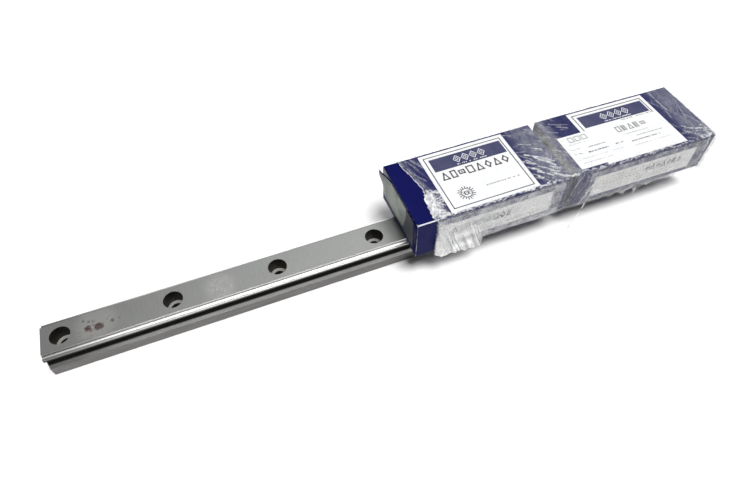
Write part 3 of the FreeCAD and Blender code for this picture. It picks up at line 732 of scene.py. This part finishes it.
def stroke(x0, y0, x1, y1, width):
    """A straight line with a width."""
    length = math.hypot(x1 - x0, y1 - y0)
    nx, ny = -(y1 - y0) / length * width / 2, (x1 - x0) / length * width / 2
    ex, ey = (x1 - x0) / length * width / 2, (y1 - y0) / length * width / 2
    return [
        (x0 - ex + nx, y0 - ey + ny),
        (x0 - ex - nx, y0 - ey - ny),
        (x1 + ex - nx, y1 + ey - ny),
        (x1 + ex + nx, y1 + ey + ny),
    ]


def loop(points, width):
    """The outline of a closed polygon."""
    return [stroke(*a, *b, width) for a, b in zip(points, points[1:] + points[:1])]


def ring(cx, cy, radius, width, count=28):
    """A round line."""
    made = []
    for i in range(count):
        a, b = (2 * math.pi * k / count for k in (i, i + 1))
        corners = []
        for t, s in ((a, -1), (b, -1), (b, 1), (a, 1)):
            r = radius + s * width / 2
            corners.append((cx + r * math.cos(t), cy + r * math.sin(t)))
        made.append(corners)
    return made


def dashes(rng, x0, x1, y, height, gap=0.35):
    """A row of short bars of uneven length."""
    made, x = [], x0
    while x < x1:
        wide = rng.uniform(0.35, 1.5) * height
        made.append(rect(x, y, min(x + wide, x1), y + height * rng.uniform(0.75, 1.0)))
        x += wide + gap * rng.uniform(0.7, 2.2) * (3.0 if rng.random() < 0.15 else 1.0)
    return made


def shapes(rng, x0, x1, y0, y1, weight):
    """A row of plain outlined shapes and bars, as tall as large print."""
    made, x, tall, last = [], x0, y1 - y0, -1
    while x < x1 - tall * 0.4:
        kind = int(rng.integers(0, 5))
        kind = (kind + 1) % 5 if kind == last else kind
        last, wide = kind, tall * rng.uniform(0.6, 0.78)
        right, half = min(x + wide, x1), weight / 2
        cx, cy, r = (x + right) / 2, (y0 + y1) / 2, tall / 2 - half
        near, far = x + half, right - half
        if kind == 0:
            made += loop(rect(near, y0 + half, far, y1 - half), weight)
        elif kind == 1:
            made += loop([(near, cy), (cx, cy - r), (far, cy), (cx, cy + r)], weight)
        elif kind == 2:
            for k, share in enumerate((1.3, 0.6, 0.9, 0.6)):
                at = x + k * ((right - x) / 4.2)
                made.append(rect(at, y0, at + weight * share, y1))
        elif kind == 3:
            made += loop([(near, y0 + half), (far, y0 + half), (cx, y1 - half)], weight)
        else:
            made += loop(rect(near, cy - r * 0.5, far, cy + r * 0.5), weight)
            made.append(rect(x + wide * 0.35, cy - r * 0.15, x + wide * 0.65, cy + r * 0.15))
        x = right + tall * 0.2
    return made


def emblem(cx, cy, radius):
    """A round generic seal: two rings, a ring of ticks and three bars."""
    made = ring(cx, cy, radius * 0.62, 0.5) + ring(cx, cy, radius * 0.25, 0.6, 14)
    near = radius * 0.74
    for i in range(18):
        a = 2 * math.pi * i / 18
        c, s, far = math.cos(a), math.sin(a), radius * (0.98 if i % 3 else 0.86)
        made.append(stroke(cx + near * c, cy + near * s, cx + far * c, cy + far * s, 0.6))
    for y in (cy - 1.2, cy, cy + 1.2):
        made.append(rect(cx - radius * 0.5, y - 0.18, cx + radius * 0.5, y + 0.18))
    return made


def decal(name, carton, face, polygons, material, lift):
    """Flat print: polygons on the carton's top or near face, lift millimetres off it."""
    points, faces = [], []
    for polygon in polygons:
        faces.append(list(range(len(points), len(points) + len(polygon))))
        for a, b in polygon:
            points.append((a, b, HEIGHT + lift) if face == "top" else (a, -WIDTH / 2 - lift, b))
    obj = make_mesh(name, carton.place(points), faces, [material], smooth=False)
    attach(obj, "pack")


TOP_LABEL = (21.5, -24.0, 78.0, 23.6)
OVER_LABEL_FAR = 6.1
PRINT, PRINT_OVER = PAPER + 0.02, PAPER + 0.035


def printed_top(carton, seed, cover=None):
    """The print on a carton's own top label. What lies nearer than cover is left out, because
    a sticker hides it."""
    rng = np.random.default_rng(seed)
    inset, line = 2.3, 0.65
    x0, y0, x1, y1 = TOP_LABEL
    x0, x1, y1 = x0 + inset, x1 - inset, y1 - inset
    low = y0 + inset if cover is None else cover

    def put(what, polygons, material, lift=PRINT):
        decal(f"carton_{carton.number}_top_{what}_print", carton, "top", polygons, material, lift)

    lines = [
        rect(x0, y1 - line, x1, y1), rect(x0, low, x0 + line, y1), rect(x1 - line, low, x1, y1),
    ]
    if cover is None:
        lines.append(rect(x0, low, x1, low + line))
    put("frame", lines, INK_FRAME)
    put("band", [rect(26.4, 8.2, 74.2, 18.9)], INK_BAND)
    mark = []
    for k in range(4):
        for share, width in ((1.0, 0.45), (0.4, 0.35)):
            cx, cy, w, h = 43.2 + 5.4 * k, 14.1, 2.3 * share, 2.9 * share
            mark += loop([(cx - w, cy), (cx, cy - h), (cx + w, cy), (cx, cy + h)], width)
    mark += dashes(rng, 41.5, 61.0, 9.4, 0.8)
    put("mark", mark, INK_WHITE, PRINT_OVER)
    if cover is None:
        put("code", shapes(rng, 28.0, 73.5, 0.2, 6.4, 0.95), INK_CODE)
        put("small", emblem(36.0, -13.0, 5.2) + dashes(rng, 49.5, 71.5, -12.2, 0.75), INK_FINE)
    else:
        put("small", dashes(rng, 52.0, 74.5, 6.7, 0.8, 0.6), INK_FINE)


def printed_over():
    """Rows of small generic print on the second sticker."""
    rng = np.random.default_rng(8)
    mark = []
    for x in (10.0, 14.6, 19.2):
        mark += loop(rect(x, 0.2, x + 3.2, 4.0), 0.4)
    mark += dashes(rng, 8.0, 22.0, -2.0, 0.5)
    pale = shapes(rng, 43.0, 66.0, -2.4, 2.6, 0.7) + dashes(rng, 45.0, 63.0, -5.6, 0.7)
    fine = []
    for x, end, y, tall in (
        (7.0, 14.0, -6.5, 0.6), (18.0, 31.0, -7.3, 0.8), (7.0, 12.0, -10.5, 0.6),
        (16.0, 30.0, -11.4, 1.0), (35.5, 41.0, -10.9, 0.9), (52.0, 71.0, -9.0, 0.7),
        (46.0, 68.0, -12.6, 1.0), (7.0, 40.0, -15.0, 0.4), (46.0, 72.0, -16.2, 0.5),
        (8.0, 28.0, -18.6, 0.5),
    ):
        fine += dashes(rng, x, end, y, tall)
    for what, rows, material in (
        ("mark", mark, INK_CODE), ("pale", pale, INK_PALE), ("fine", fine, INK_FINE)
    ):
        decal(f"carton_2_over_{what}_print", TWO, "top", rows, material, PAPER + PRINT)


def printed_side(carton, seed):
    """Rows of print on the near side's label."""
    rng = np.random.default_rng(seed)
    name = f"carton_{carton.number}_side"
    rows = []
    for z in (16.8, 14.0, 11.6, 8.6, 6.2):
        start, end = 17 + rng.uniform(0, 6), 84 - rng.uniform(0, 22)
        rows += dashes(rng, start, end, z, rng.uniform(0.7, 1.3), 0.8)
    decal(f"{name}_fine_print", carton, "near", rows, INK_PALE, PRINT)
    spread = (22.0, 60.0, 11.6, 16.6, 0.9) if carton is ONE else (52.0, 80.0, 12.4, 16.8, 0.7)
    decal(f"{name}_code_print", carton, "near", shapes(rng, *spread), INK_CODE, PRINT_OVER)


printed_top(ONE, 5)
printed_top(TWO, 6, OVER_LABEL_FAR + 0.1)
printed_over()
printed_side(ONE, 12)
printed_side(TWO, 13)


# ---------------------------------------------------------------- film

# The film's clearance from the board, its mesh's step and half the length of its folds' bends.
GAP, FILM_STEP, TURN = 0.34, 0.55, 1.1
ONE_START, TWO_START = ONE.origin[0], TWO.origin[0]
ONE_END, TWO_END = ONE_START + LENGTH, TWO_START + LENGTH * math.cos(YAW)


def film_section():
    """The film's section, its outward normals, and s, the distance round from the near top
    fold: over the top to the far side, or down the near side below nought. The seam is under
    the middle of the bottom."""
    half, low, high = WIDTH / 2 + GAP, -0.1, HEIGHT + GAP
    corners = [
        (0.0, low), (-half, low), (-half, high), (half, high), (half, low), (0.0, low),
    ]
    lengths = [math.dist(a, b) for a, b in zip(corners, corners[1:])]
    total = sum(lengths)
    s = np.linspace(0, total, round(total / FILM_STEP) + 1)[:-1]
    edges = np.cumsum([0] + lengths)
    y, z = (np.interp(s, edges, [c[k] for c in corners]) for k in (0, 1))
    knots = [0, *(e + turn for e in edges[1:5] for turn in (-TURN, TURN)), total]
    ny = np.interp(s, knots, [0, 0, -1, -1, 0, 0, 1, 1, 0, 0])
    nz = np.interp(s, knots, [-1, -1, 0, 0, 1, 1, 0, 0, -1, -1])
    # Cut the sharp corners round, which leaves the flats where they are.
    for e, (cy, cz) in zip(edges[1:5], corners[1:5]):
        near = np.abs(s - e) < TURN
        bend = (TURN - np.abs(s - e)) / TURN * 0.30 * TURN
        y = np.where(near, y - np.sign(cy) * bend * 0.9, y)
        z = np.where(near, z - (1 if cz > 1 else -1) * bend * 0.9, z)
    size = np.hypot(ny, nz)
    return s - edges[2], y, z, ny / size, nz / size


S, SECTION_Y, SECTION_Z, SECTION_NY, SECTION_NZ = film_section()
# Places of the folds, as distance round from the near top fold.
SIDE_HIGH = 0.44
NEAR_LOW = -(HEIGHT + SIDE_HIGH)
FAR_TOP = WIDTH + 2 * GAP
FAR_LOW = FAR_TOP + HEIGHT + SIDE_HIGH

# Where the film starts, as distance round and place along carton 1.
START_S = [-53, -32, -27.6, -14, -3, 0, 1.5, 9, 16.5, 23.5, 34, 44, 50.8, 56, 70, 79, 104]
START_X = [
    10.5, 11.0, 11.4, 12.6, 12.7, 11.6, 9.9, 10.4, 11.2, 13.6, 11.6, 9.3, 8.4, 9.5, 10.8, 9.8, 10.5,
]


class Creases:
    """Ridges in the film: straight creases drawn over the unrolled sheet, each also made milkier
    along its ridge, partly as painted highlight.
    """

    def __init__(self, x, s):
        self.x, self.s = x, s
        self.height, self.milk_and_sheen = np.zeros_like(x), np.zeros_like(x)

    def add(self, x0, s0, x1, s1, width, height, milk_and_sheen):
        """A crease from one point to another, that fades at its ends."""
        reach = 3 * width
        near = (
            (self.x > min(x0, x1) - reach) & (self.x < max(x0, x1) + reach)
            & (self.s > min(s0, s1) - reach) & (self.s < max(s0, s1) + reach)
        )
        if not near.any():
            return
        px, ps = self.x[near] - x0, self.s[near] - s0
        dx, ds = x1 - x0, s1 - s0
        long = math.hypot(dx, ds) + 1e-6
        along = np.clip((px * dx + ps * ds) / long**2, 0, 1)
        away = np.hypot(px - along * dx, ps - along * ds)
        fade = np.minimum(1, 6 * np.minimum(along, 1 - along) + 0.25)
        shape = np.exp(-((away / width) ** 2)) * fade
        self.height[near] = np.maximum(self.height[near], shape * height)
        self.milk_and_sheen[near] = np.maximum(self.milk_and_sheen[near], shape * milk_and_sheen)

    def scatter(self, rng, count, x, s, angle, length, width, height, milk_and_sheen):
        """Creases at random places in a region. Each range is (low, high); angle is in
        degrees from the rail's direction, towards the far side."""
        for _ in range(count):
            cx, cs = rng.uniform(*x), rng.uniform(*s)
            a, long = math.radians(rng.uniform(*angle)), rng.uniform(*length) / 2
            kink = rng.uniform(-0.5, 0.5)
            w, h, c = rng.uniform(*width), rng.uniform(*height), rng.uniform(*milk_and_sheen)
            mx, ms = cx + kink * math.sin(a), cs - kink * math.cos(a)
            dx, ds = long * math.cos(a), long * math.sin(a)
            self.add(cx - dx, cs - ds, mx, ms, w, h, c)
            self.add(mx, ms, cx + dx, cs + ds, w, h, c)


def crease_map(x, s):
    """Every crease of the film. x is the place along the pair from carton 1's left end."""
    made = Creases(x, s)
    two = TWO_START - ONE_START
    joint = (LENGTH + two) / 2
    rng = np.random.default_rng(77)

    def scatter(start, *rows):
        """Rows of creases. The first range of a row is counted from start."""
        for count, (low, high), *ranges in rows:
            made.scatter(rng, count, (start + low, start + high), *ranges)

    # Top of carton 1: streaks towards the gap, and the crumpled patch by the label.
    scatter(
        0,
        (34, (79, 95), (3, 30), (-52, -28), (4, 12), (0.22, 0.5), (0.1, 0.4), (0.35, 0.95)),
        (16, (79, 96), (28, 48), (-60, 20), (4, 10), (0.22, 0.5), (0.05, 0.25), (0.15, 0.45)),
        (60, (11.5, 20.5), (0.8, 21), (-75, 30), (1.5, 6), (0.22, 0.55), (0.1, 0.35), (0.45, 1)),
        (46, (18, 84), (0.2, 2.2), (-30, 30), (1, 4), (0.2, 0.4), (0.05, 0.25), (0.5, 1)),
        (12, (22, 76), (6, 46), (60, 120), (6, 16), (0.25, 0.5), (0.03, 0.08), (0.05, 0.14)),
        (8, (13, 21), (24, 49), (-68, -55), (10, 24), (0.3, 0.6), (0.05, 0.2), (0.12, 0.32)),
    )
    # Along the film's own left edge on top: pale lines that are partly painted highlights of the
    # rolled edge.
    edge = list(zip(START_X, START_S))
    for shift, milk_and_sheen in ((0.5, 0.5), (2.0, 0.34), (3.4, 0.2)):
        for (x0, s0), (x1, s1) in zip(edge, edge[1:]):
            made.add(x0 + shift, s0, x1 + shift * rng.uniform(0.7, 1.2), s1, 0.35, 0.15, milk_and_sheen)
    # The gap between the cartons: folds across it, and fans of creases on both sides.
    for _ in range(13):
        at = joint + rng.uniform(-3.6, 4.6)
        made.add(
            at, rng.uniform(-28, -6), at + rng.uniform(-2.2, 2.2), rng.uniform(18, 56),
            rng.uniform(0.22, 0.4), rng.uniform(0.1, 0.35), rng.uniform(0.08, 0.34),
        )
    scatter(
        joint,
        (22, (-12, 10), (-2, 22), (-66, -20), (6, 18), (0.25, 0.5), (0.1, 0.3), (0.12, 0.5)),
        (14, (2, 20), (26, 50), (-58, 10), (4, 14), (0.22, 0.45), (0.05, 0.2), (0.15, 0.5)),
    )
    # Top of carton 2.
    scatter(
        two,
        (12, (20, 80), (4, 48), (60, 125), (5, 16), (0.25, 0.5), (0.03, 0.08), (0.05, 0.14)),
        (18, (80, 97), (10, 49), (60, 120), (12, 34), (0.3, 0.7), (0.05, 0.2), (0.12, 0.4)),
        (22, (78, 98), (0.8, 12), (-62, -10), (2, 8), (0.2, 0.35), (0.1, 0.3), (0.25, 0.85)),
        (30, (8, 80), (-0.6, 1.6), (-35, 35), (1, 3.5), (0.2, 0.4), (0.05, 0.2), (0.4, 0.9)),
    )
    # Near side: slanting and upright folds all along.
    near = (NEAR_LOW, -1)
    foot = (NEAR_LOW - 1, NEAR_LOW + 8)
    scatter(
        0,
        (90, (12, 96), near, (35, 88), (4, 16), (0.3, 0.7), (0.1, 0.4), (0.1, 0.42)),
        (60, (12, 96), foot, (-40, 60), (3, 9), (0.3, 0.6), (0.1, 0.45), (0.2, 0.6)),
    )
    scatter(
        two,
        (110, (0, 99), near, (40, 100), (4, 18), (0.25, 0.6), (0.1, 0.35), (0.1, 0.36)),
        (14, (-3, 14), near, (56, 82), (10, 26), (0.2, 0.35), (0.15, 0.4), (0.2, 0.7)),
        (16, (86, 99), (NEAR_LOW, 0), (75, 100), (10, 26), (0.3, 0.6), (0.1, 0.3), (0.2, 0.6)),
    )
    made.add(two + 5.5, NEAR_LOW - 1, two + 13.5, -8, 0.35, 0.4, 0.95)
    made.add(two + 98.3, -0.5, two + 98.6, NEAR_LOW, 0.5, 0.3, 0.95)
    # Far side and bottom.
    whole, turned = (8, two + 99), (-180, 180)
    far, under_far, under_near = (FAR_TOP, FAR_LOW), (FAR_LOW, 104), (-53, NEAR_LOW)
    scatter(
        0,
        (190, whole, far, (40, 130), (5, 20), (0.3, 0.7), (0.1, 0.45), (0.1, 0.5)),
        (120, whole, under_far, turned, (5, 16), (0.3, 0.7), (0.0, 0.02), (0.1, 0.4)),
        (120, whole, under_near, turned, (5, 16), (0.3, 0.7), (0.0, 0.02), (0.1, 0.4)),
    )
    return made


def film_tube():
    """The film round both cartons, from its ragged start to where it is gathered over the
    right end."""
    end = TWO_END - ONE_START
    fold, least = 12.0, 4.5
    rows = round((end - 8) / FILM_STEP)
    tail = round(fold / (FILM_STEP * 1.05))
    start = np.interp(S, START_S, START_X) + 0.7 * (noise(S / 1.3, S * 0, 61) - 0.5)
    x = start + np.linspace(0, 1, rows)[:, None] * (end - start)
    # Past the end the film leaves the carton and folds in over the end panel.
    reach = least + (fold - least) * noise(S / 7.0, S * 0, 62)
    beyond = np.linspace(0, 1, tail + 1)[1:, None] * reach
    past = np.concatenate([np.zeros(x.shape), beyond])
    x = np.concatenate([x, end + 0 * beyond])
    s = np.broadcast_to(S, x.shape)

    creases = crease_map(x + past, s)
    joint = x + ONE_START
    yaw = smoothstep(ONE_END, TWO_START, joint)
    step = TWO.origin[1] - ONE.origin[1] + math.tan(YAW) * (joint - TWO_START)
    middle = ONE.origin[1] + yaw * step
    half_gap = (TWO_START - ONE_END) / 2
    dip = np.clip((joint - ONE_END) * (TWO_START - joint) / half_gap**2, 0, 1)
    bottom = (s < NEAR_LOW + 0.6) | (s > FAR_LOW - 0.6)
    side = (s < -2) | ((s > FAR_TOP + 2) & (s < FAR_LOW))
    lift = creases.height + 0.30 * noise(x / 6, s / 6, 63) + 0.16 * noise(x / 1.7, s / 1.7, 64)
    lift += smoothstep(6, 0, x - start) * 0.35 * noise(s / 2.0, x / 2.0, 65)
    down = smoothstep(0, -6, np.where(s < 0, s, -(s - FAR_TOP)))
    lift += side * 0.9 * noise(x / 9, s / 14, 66) * down
    # It hangs a little below the bottom folds, clear of the rail.
    low_edge = smoothstep(9, 0, np.minimum(np.abs(s - NEAR_LOW), np.abs(s - FAR_LOW)))
    sag = low_edge * (0.15 + 0.4 * noise(x / 5, s * 0, 67)) * (np.abs(SECTION_Y) > 13.5)
    lift = np.where(bottom & (np.abs(SECTION_Y) < 12.6), 0.0, lift)
    lift -= dip * 0.25 * ~bottom
    y = SECTION_Y + SECTION_NY * lift
    z = SECTION_Z + SECTION_NZ * lift - sag
    # The gathered end: out by a little, then in towards the middle.
    out = 0.5 * np.sin(np.clip(past / 3.6, 0, 1) * math.pi / 2)
    out += 0.5 * noise(s / 1.6, past / 3, 68) * smoothstep(0, 2, past)
    inward = np.maximum(past - 2.2, 0)
    reach = np.hypot(SECTION_Y, SECTION_Z - HEIGHT / 2)
    y -= inward * SECTION_Y / reach
    z -= inward * (SECTION_Z - HEIGHT / 2) / reach
    x = x + out * (past > 0)

    # The sides and the bottom are milkier than the top.
    milk_and_sheen = np.where(bottom, 0.20, np.where(side, 0.24, 0.035))
    milk_and_sheen = milk_and_sheen * (0.65 + 0.7 * noise(x / 4, s / 4, 69))
    near = (s < -0.5) & ~bottom
    milky = 0.05 + 0.20 * noise(x / 5, s / 3.5, 70)
    milk_and_sheen += (near & (x < LENGTH)) * milky * smoothstep(10, 13, x)
    milk_and_sheen += near * (x > LENGTH) * 0.10 * noise(x / 3, s / 3, 71)
    patch = smoothstep(21, 15, x) * smoothstep(-0.5, 3, s) * smoothstep(24, 16, s)
    milk_and_sheen += patch * (0.32 + 0.7 * noise(x / 1.6, s / 1.6, 72) ** 2)
    strip = smoothstep(3.2, 1.6, s) * smoothstep(-1.2, 0.2, s) * (x > 14)
    milk_and_sheen += strip * 0.4 * smoothstep(0.45, 0.75, noise(x / 1.8, s / 0.9, 73))
    top = (s > 0) & (s < FAR_TOP)
    right = smoothstep(79, 88, x - (TWO_START - ONE_START)) * top
    milk_and_sheen += right * (0.05 + 0.10 * noise(x / 5, s / 9, 74))
    milk_and_sheen += np.exp(-(((joint - (ONE_END + TWO_START) / 2) / 3.2) ** 2)) * top * 0.03
    # Painted highlights: white streaks on the top near the gap.
    streaked = ((s > 0.5) & top) * smoothstep(78, 90, x) * smoothstep(112, 104, x)
    milk_and_sheen += streaked * (0.05 + 0.20 * noise(x / 3, s / 3, 75))
    # It is clearest by the gap, and milky at its end and along its ragged start, where the
    # whiteness is partly a painted highlight of the rolled edge.
    milk_and_sheen *= np.where(near & (np.abs(x - LENGTH - 5) < 9), 0.45, 1.0)
    milk_and_sheen += smoothstep(0, 2, past) * 0.16
    # The creases' whiteness, partly painted highlight along the ridges.
    milk_and_sheen = np.maximum(milk_and_sheen, creases.milk_and_sheen)
    milk_and_sheen = np.maximum(milk_and_sheen, (0.55 * smoothstep(0.5, 0.1, x - start)) * (past == 0))

    points = np.stack([ONE_START + x, middle + y, ONE.origin[2] + z], -1)
    obj = make_mesh(
        "film_sheet", points.reshape(-1, 3), grid_faces(*x.shape, closed=True), [FILM],
        values={"milk_and_sheen": np.clip(milk_and_sheen, 0.02, 0.97)},
    )
    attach(obj, "pack")
    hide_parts("film_wrap")
    return obj


def lattice(low, high, columns, rows):
    """A row from low to high and a column from 0 to 1, which together span a grid."""
    return np.linspace(low, high, columns)[None, :], np.linspace(0, 1, rows)[:, None]


def film_piece(name, points, milk_and_sheen, material):
    """A loose piece of film from a grid of points in the part's frame."""
    obj = make_mesh(
        name, points.reshape(-1, 3), grid_faces(*points.shape[:2]), [material],
        values={"milk_and_sheen": np.clip(milk_and_sheen, 0.02, 0.97)},
    )
    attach(obj, "pack")
    return obj


def film_bunch():
    """The film's gathered start on carton 1's near side: upright pleats that hang below the
    bottom fold."""
    x, t = lattice(11.0, 43.0, 150, 76)
    top = np.interp(x, [11, 14, 22, 30, 39, 43], [26.2, 25.6, 22.0, 19.5, 12.5, 3.0])
    hem = np.interp(
        x, [11, 13, 16, 20, 24, 27, 31, 35, 39, 43],
        [-0.8, -1.8, -3.4, -2.8, -4.2, -3.6, -4.8, -4.4, -5.6, -3.6],
    )
    hem = hem + 1.6 * (noise(x / 1.5, 0 * x, 81) - 0.5)
    z = top + (hem - top) * t
    lean = x - 0.35 * (13 - z)
    pleat = np.abs(2 * noise(lean / 1.9, z / 26, 82) - 1) ** 0.7
    fine = np.abs(2 * noise(lean / 0.8, z / 9, 83) - 1)
    free = smoothstep(20, 2, z)
    depth = 0.55 + 1.25 * pleat * (0.35 + 0.65 * free) + 0.35 * fine + 0.9 * smoothstep(3, -4, z)
    depth = depth * smoothstep(0, 0.12, t) + 0.38
    loose = 0.6 * smoothstep(3, -1, z) * noise(x / 3, z / 3, 84)
    depth = np.where(z < 3, depth + loose, depth)
    drift = 0.8 * (noise(x / 4, z / 6, 85) - 0.5)
    points = np.stack([x + drift, -WIDTH / 2 - depth, z], -1)
    milk_and_sheen = 0.36 + 0.70 * pleat * (0.5 + 0.5 * free) + 0.35 * fine * free
    milk_and_sheen *= (0.55 + 0.6 * noise(x / 5, z / 5, 86)) * (0.6 + 0.4 * smoothstep(17, 6, z))
    milk_and_sheen *= smoothstep(0, 0.08, t) * smoothstep(43.5, 40, x) * smoothstep(10.5, 12.5, x)
    milk_and_sheen += 0.25 * smoothstep(0.93, 1.0, t)
    return film_piece("film_bunch", ONE.place(points), milk_and_sheen, FILM_MILKY)


def film_tatters():
    """Torn scraps that hang from carton 2's bottom fold, and tips past its right end."""
    made = []
    rng = np.random.default_rng(91)
    for k, (x, wide, drop) in enumerate(((31, 9, 3.4), (40, 12, 5.6), (50, 10, 6.4), (59, 8, 3.6))):
        u, t = lattice(-1, 1, 26, 18)
        shape = (1 - np.abs(u) ** 1.6) * (0.7 + 0.6 * noise(u * 3 + 7 * k, 0 * u, 92))
        z = 0.4 - drop * shape * t
        y = -WIDTH / 2 - 0.9 - 1.4 * noise(u * 2 + k, t * 2, 93) * t + 1.0 * t
        along = x + wide / 2 * u * (1 - 0.25 * t) + rng.uniform(-1, 1) * t
        milk_and_sheen = 0.10 + 0.4 * noise(u * 5 + k, t * 3, 94) ** 2 + 0.2 * smoothstep(0.9, 1.0, t)
        points = TWO.place(np.stack([along, y, z], -1))
        made.append(film_piece(f"film_scrap_{k + 1}", points, milk_and_sheen, FILM))
    for k, (y, z, size) in enumerate(
        ((-23.5, 22.5, 3.6), (-24.5, 14.5, 3.2), (-24.5, 4.5, 4.6), (-24.0, -1.5, 3.8))
    ):
        u, t = lattice(-1, 1, 16, 14)
        out = size * t * (1 - 0.5 * np.abs(u) ** 1.5)
        tip_z = z + size * 0.55 * u * (1 - 0.65 * t) - 1.1 * t
        tip_z = tip_z + 0.5 * (noise(u * 2 + k, t * 3, 95) - 0.5)
        tip_y = y - 1.0 * t + 0.8 * (noise(u * 3 + k, t * 2, 96) - 0.5)
        milk_and_sheen = 0.30 + 0.45 * noise(u * 4 + k, t * 4, 97) + 0.2 * smoothstep(0.85, 1, t)
        points = TWO.place(np.stack([LENGTH + 0.4 + out, tip_y, tip_z], -1))
        made.append(film_piece(f"film_tip_{k + 1}", points, milk_and_sheen, FILM_MILKY))
    return made


def film_strand():
    """A thin twisted tail of film that hangs from the near side to the floor."""
    u, t = lattice(-1, 1, 5, 90)
    start, bend, end = (
        np.array(p) for p in ((11.6, -26.9, 1.5), (8.6, -28.0, -8.0), (3.2, -29.6, -17.6))
    )
    line = (1 - t) ** 2 * start + 2 * t * (1 - t) * bend + t**2 * end
    wide = 0.26 + 0.5 * smoothstep(0.72, 1.0, t) + 0.2 * noise(t * 9, 0 * t, 98)
    turn = 9 * t + 1.2
    twist = (np.cos(turn), np.sin(turn) * 0.6, np.sin(turn) * 0.4)
    points = np.stack([line[:, k : k + 1] + wide * u * twist[k] for k in range(3)], -1)
    milk_and_sheen = 0.95 + 0 * u - 0.45 * smoothstep(0.75, 1, t)
    return film_piece("film_strand", TWO.place(points), milk_and_sheen, FILM_MILKY)


FILM_SHEET = film_tube()
LOOSE = [film_bunch(), *film_tatters(), film_strand()]


# ---------------------------------------------------------------- stage, light and camera


def floor():
    size = 3000.0
    points = [(-size, -size, 0), (size, -size, 0), (size, size, 0), (-size, size, 0)]
    look = Look("floor_white", (0.93, 0.93, 0.93), 0.6)
    tone = look.band(look.noise(180.0, 2.0), 0.3, 0.7)
    look.set(look.mix(tone, (0.93, 0.925, 0.92), (0.95, 0.945, 0.94)), "Base Color")
    obj = make_mesh("floor", points, [[0, 1, 2, 3]], [look.material], smooth=False)
    obj.location.z = -0.02 * MM
    obj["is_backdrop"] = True


def area(name, place, target, size, energy, color=(1, 1, 1)):
    light = bpy.data.lights.new(name, "AREA")
    light.shape = "RECTANGLE"
    light.size, light.size_y = size
    light.energy, light.color = energy, color
    obj = bpy.data.objects.new(name, light)
    obj.location = place
    aim = np.array(target) - np.array(place)
    obj.rotation_euler = Vector(aim).to_track_quat("-Z", "Y").to_euler()
    bpy.context.scene.collection.objects.link(obj)


def sun(place, strength, spread):
    """A soft light from far off, in the direction of place, spread degrees across."""
    light = bpy.data.lights.new("key", "SUN")
    light.energy, light.angle = strength, math.radians(spread)
    obj = bpy.data.objects.new("key", light)
    obj.rotation_euler = Vector(place).to_track_quat("Z", "Y").to_euler()
    bpy.context.scene.collection.objects.link(obj)


# The direction in which the room is brightest, and its grays from across that to straight up it.
ROOM_TOP = (0.42, 0.30, 0.857)
ROOM_GRAYS = ((0.0, 0.05), (0.98, 1.1), (0.45, 0.06), (0.70, 0.20), (0.83, 0.54), (0.92, 0.64))


def world():
    """A white room: bright overhead, dark towards the horizon and darker at the left and in
    front."""
    made = bpy.data.worlds.new("room")
    bpy.context.scene.world = made
    made.use_nodes = True
    tree = made.node_tree
    coords = tree.nodes.new("ShaderNodeTexCoord")
    height = tree.nodes.new("ShaderNodeVectorMath")
    height.operation = "DOT_PRODUCT"
    height.inputs[1].default_value = ROOM_TOP
    tree.links.new(coords.outputs["Generated"], height.inputs[0])
    ramp = tree.nodes.new("ShaderNodeValToRGB")
    stops = ramp.color_ramp.elements
    for i, (place, gray) in enumerate(ROOM_GRAYS):
        stop = stops[i] if i < 2 else stops.new(place)
        stop.position, stop.color = place, (gray, gray, gray * 1.01, 1)
    tree.links.new(height.outputs["Value"], ramp.inputs[0])
    tree.links.new(ramp.outputs[0], tree.nodes["Background"].inputs[0])


def camera():
    data = bpy.data.cameras.new("camera")
    data.sensor_width = 36.0
    data.lens = 27.456
    data.clip_start, data.clip_end = 0.005, 20.0
    obj = bpy.data.objects.new("camera", data)
    obj.location = (0.104587, -0.201423, 0.286030)
    obj.rotation_euler = (0.659, 0.012, -0.376)
    bpy.context.scene.collection.objects.link(obj)
    bpy.context.scene.camera = obj


floor()
world()
sun((0.14, -0.27, 1.0), 3.4, 25.0)
area("back", (0.0, 0.95, 0.35), (0.15, 0.0, 0.0), (1.2, 0.15), 1.0, (0.98, 0.99, 1.0))
camera()
bpy.context.scene.view_settings.view_transform = "Standard"

low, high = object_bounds()
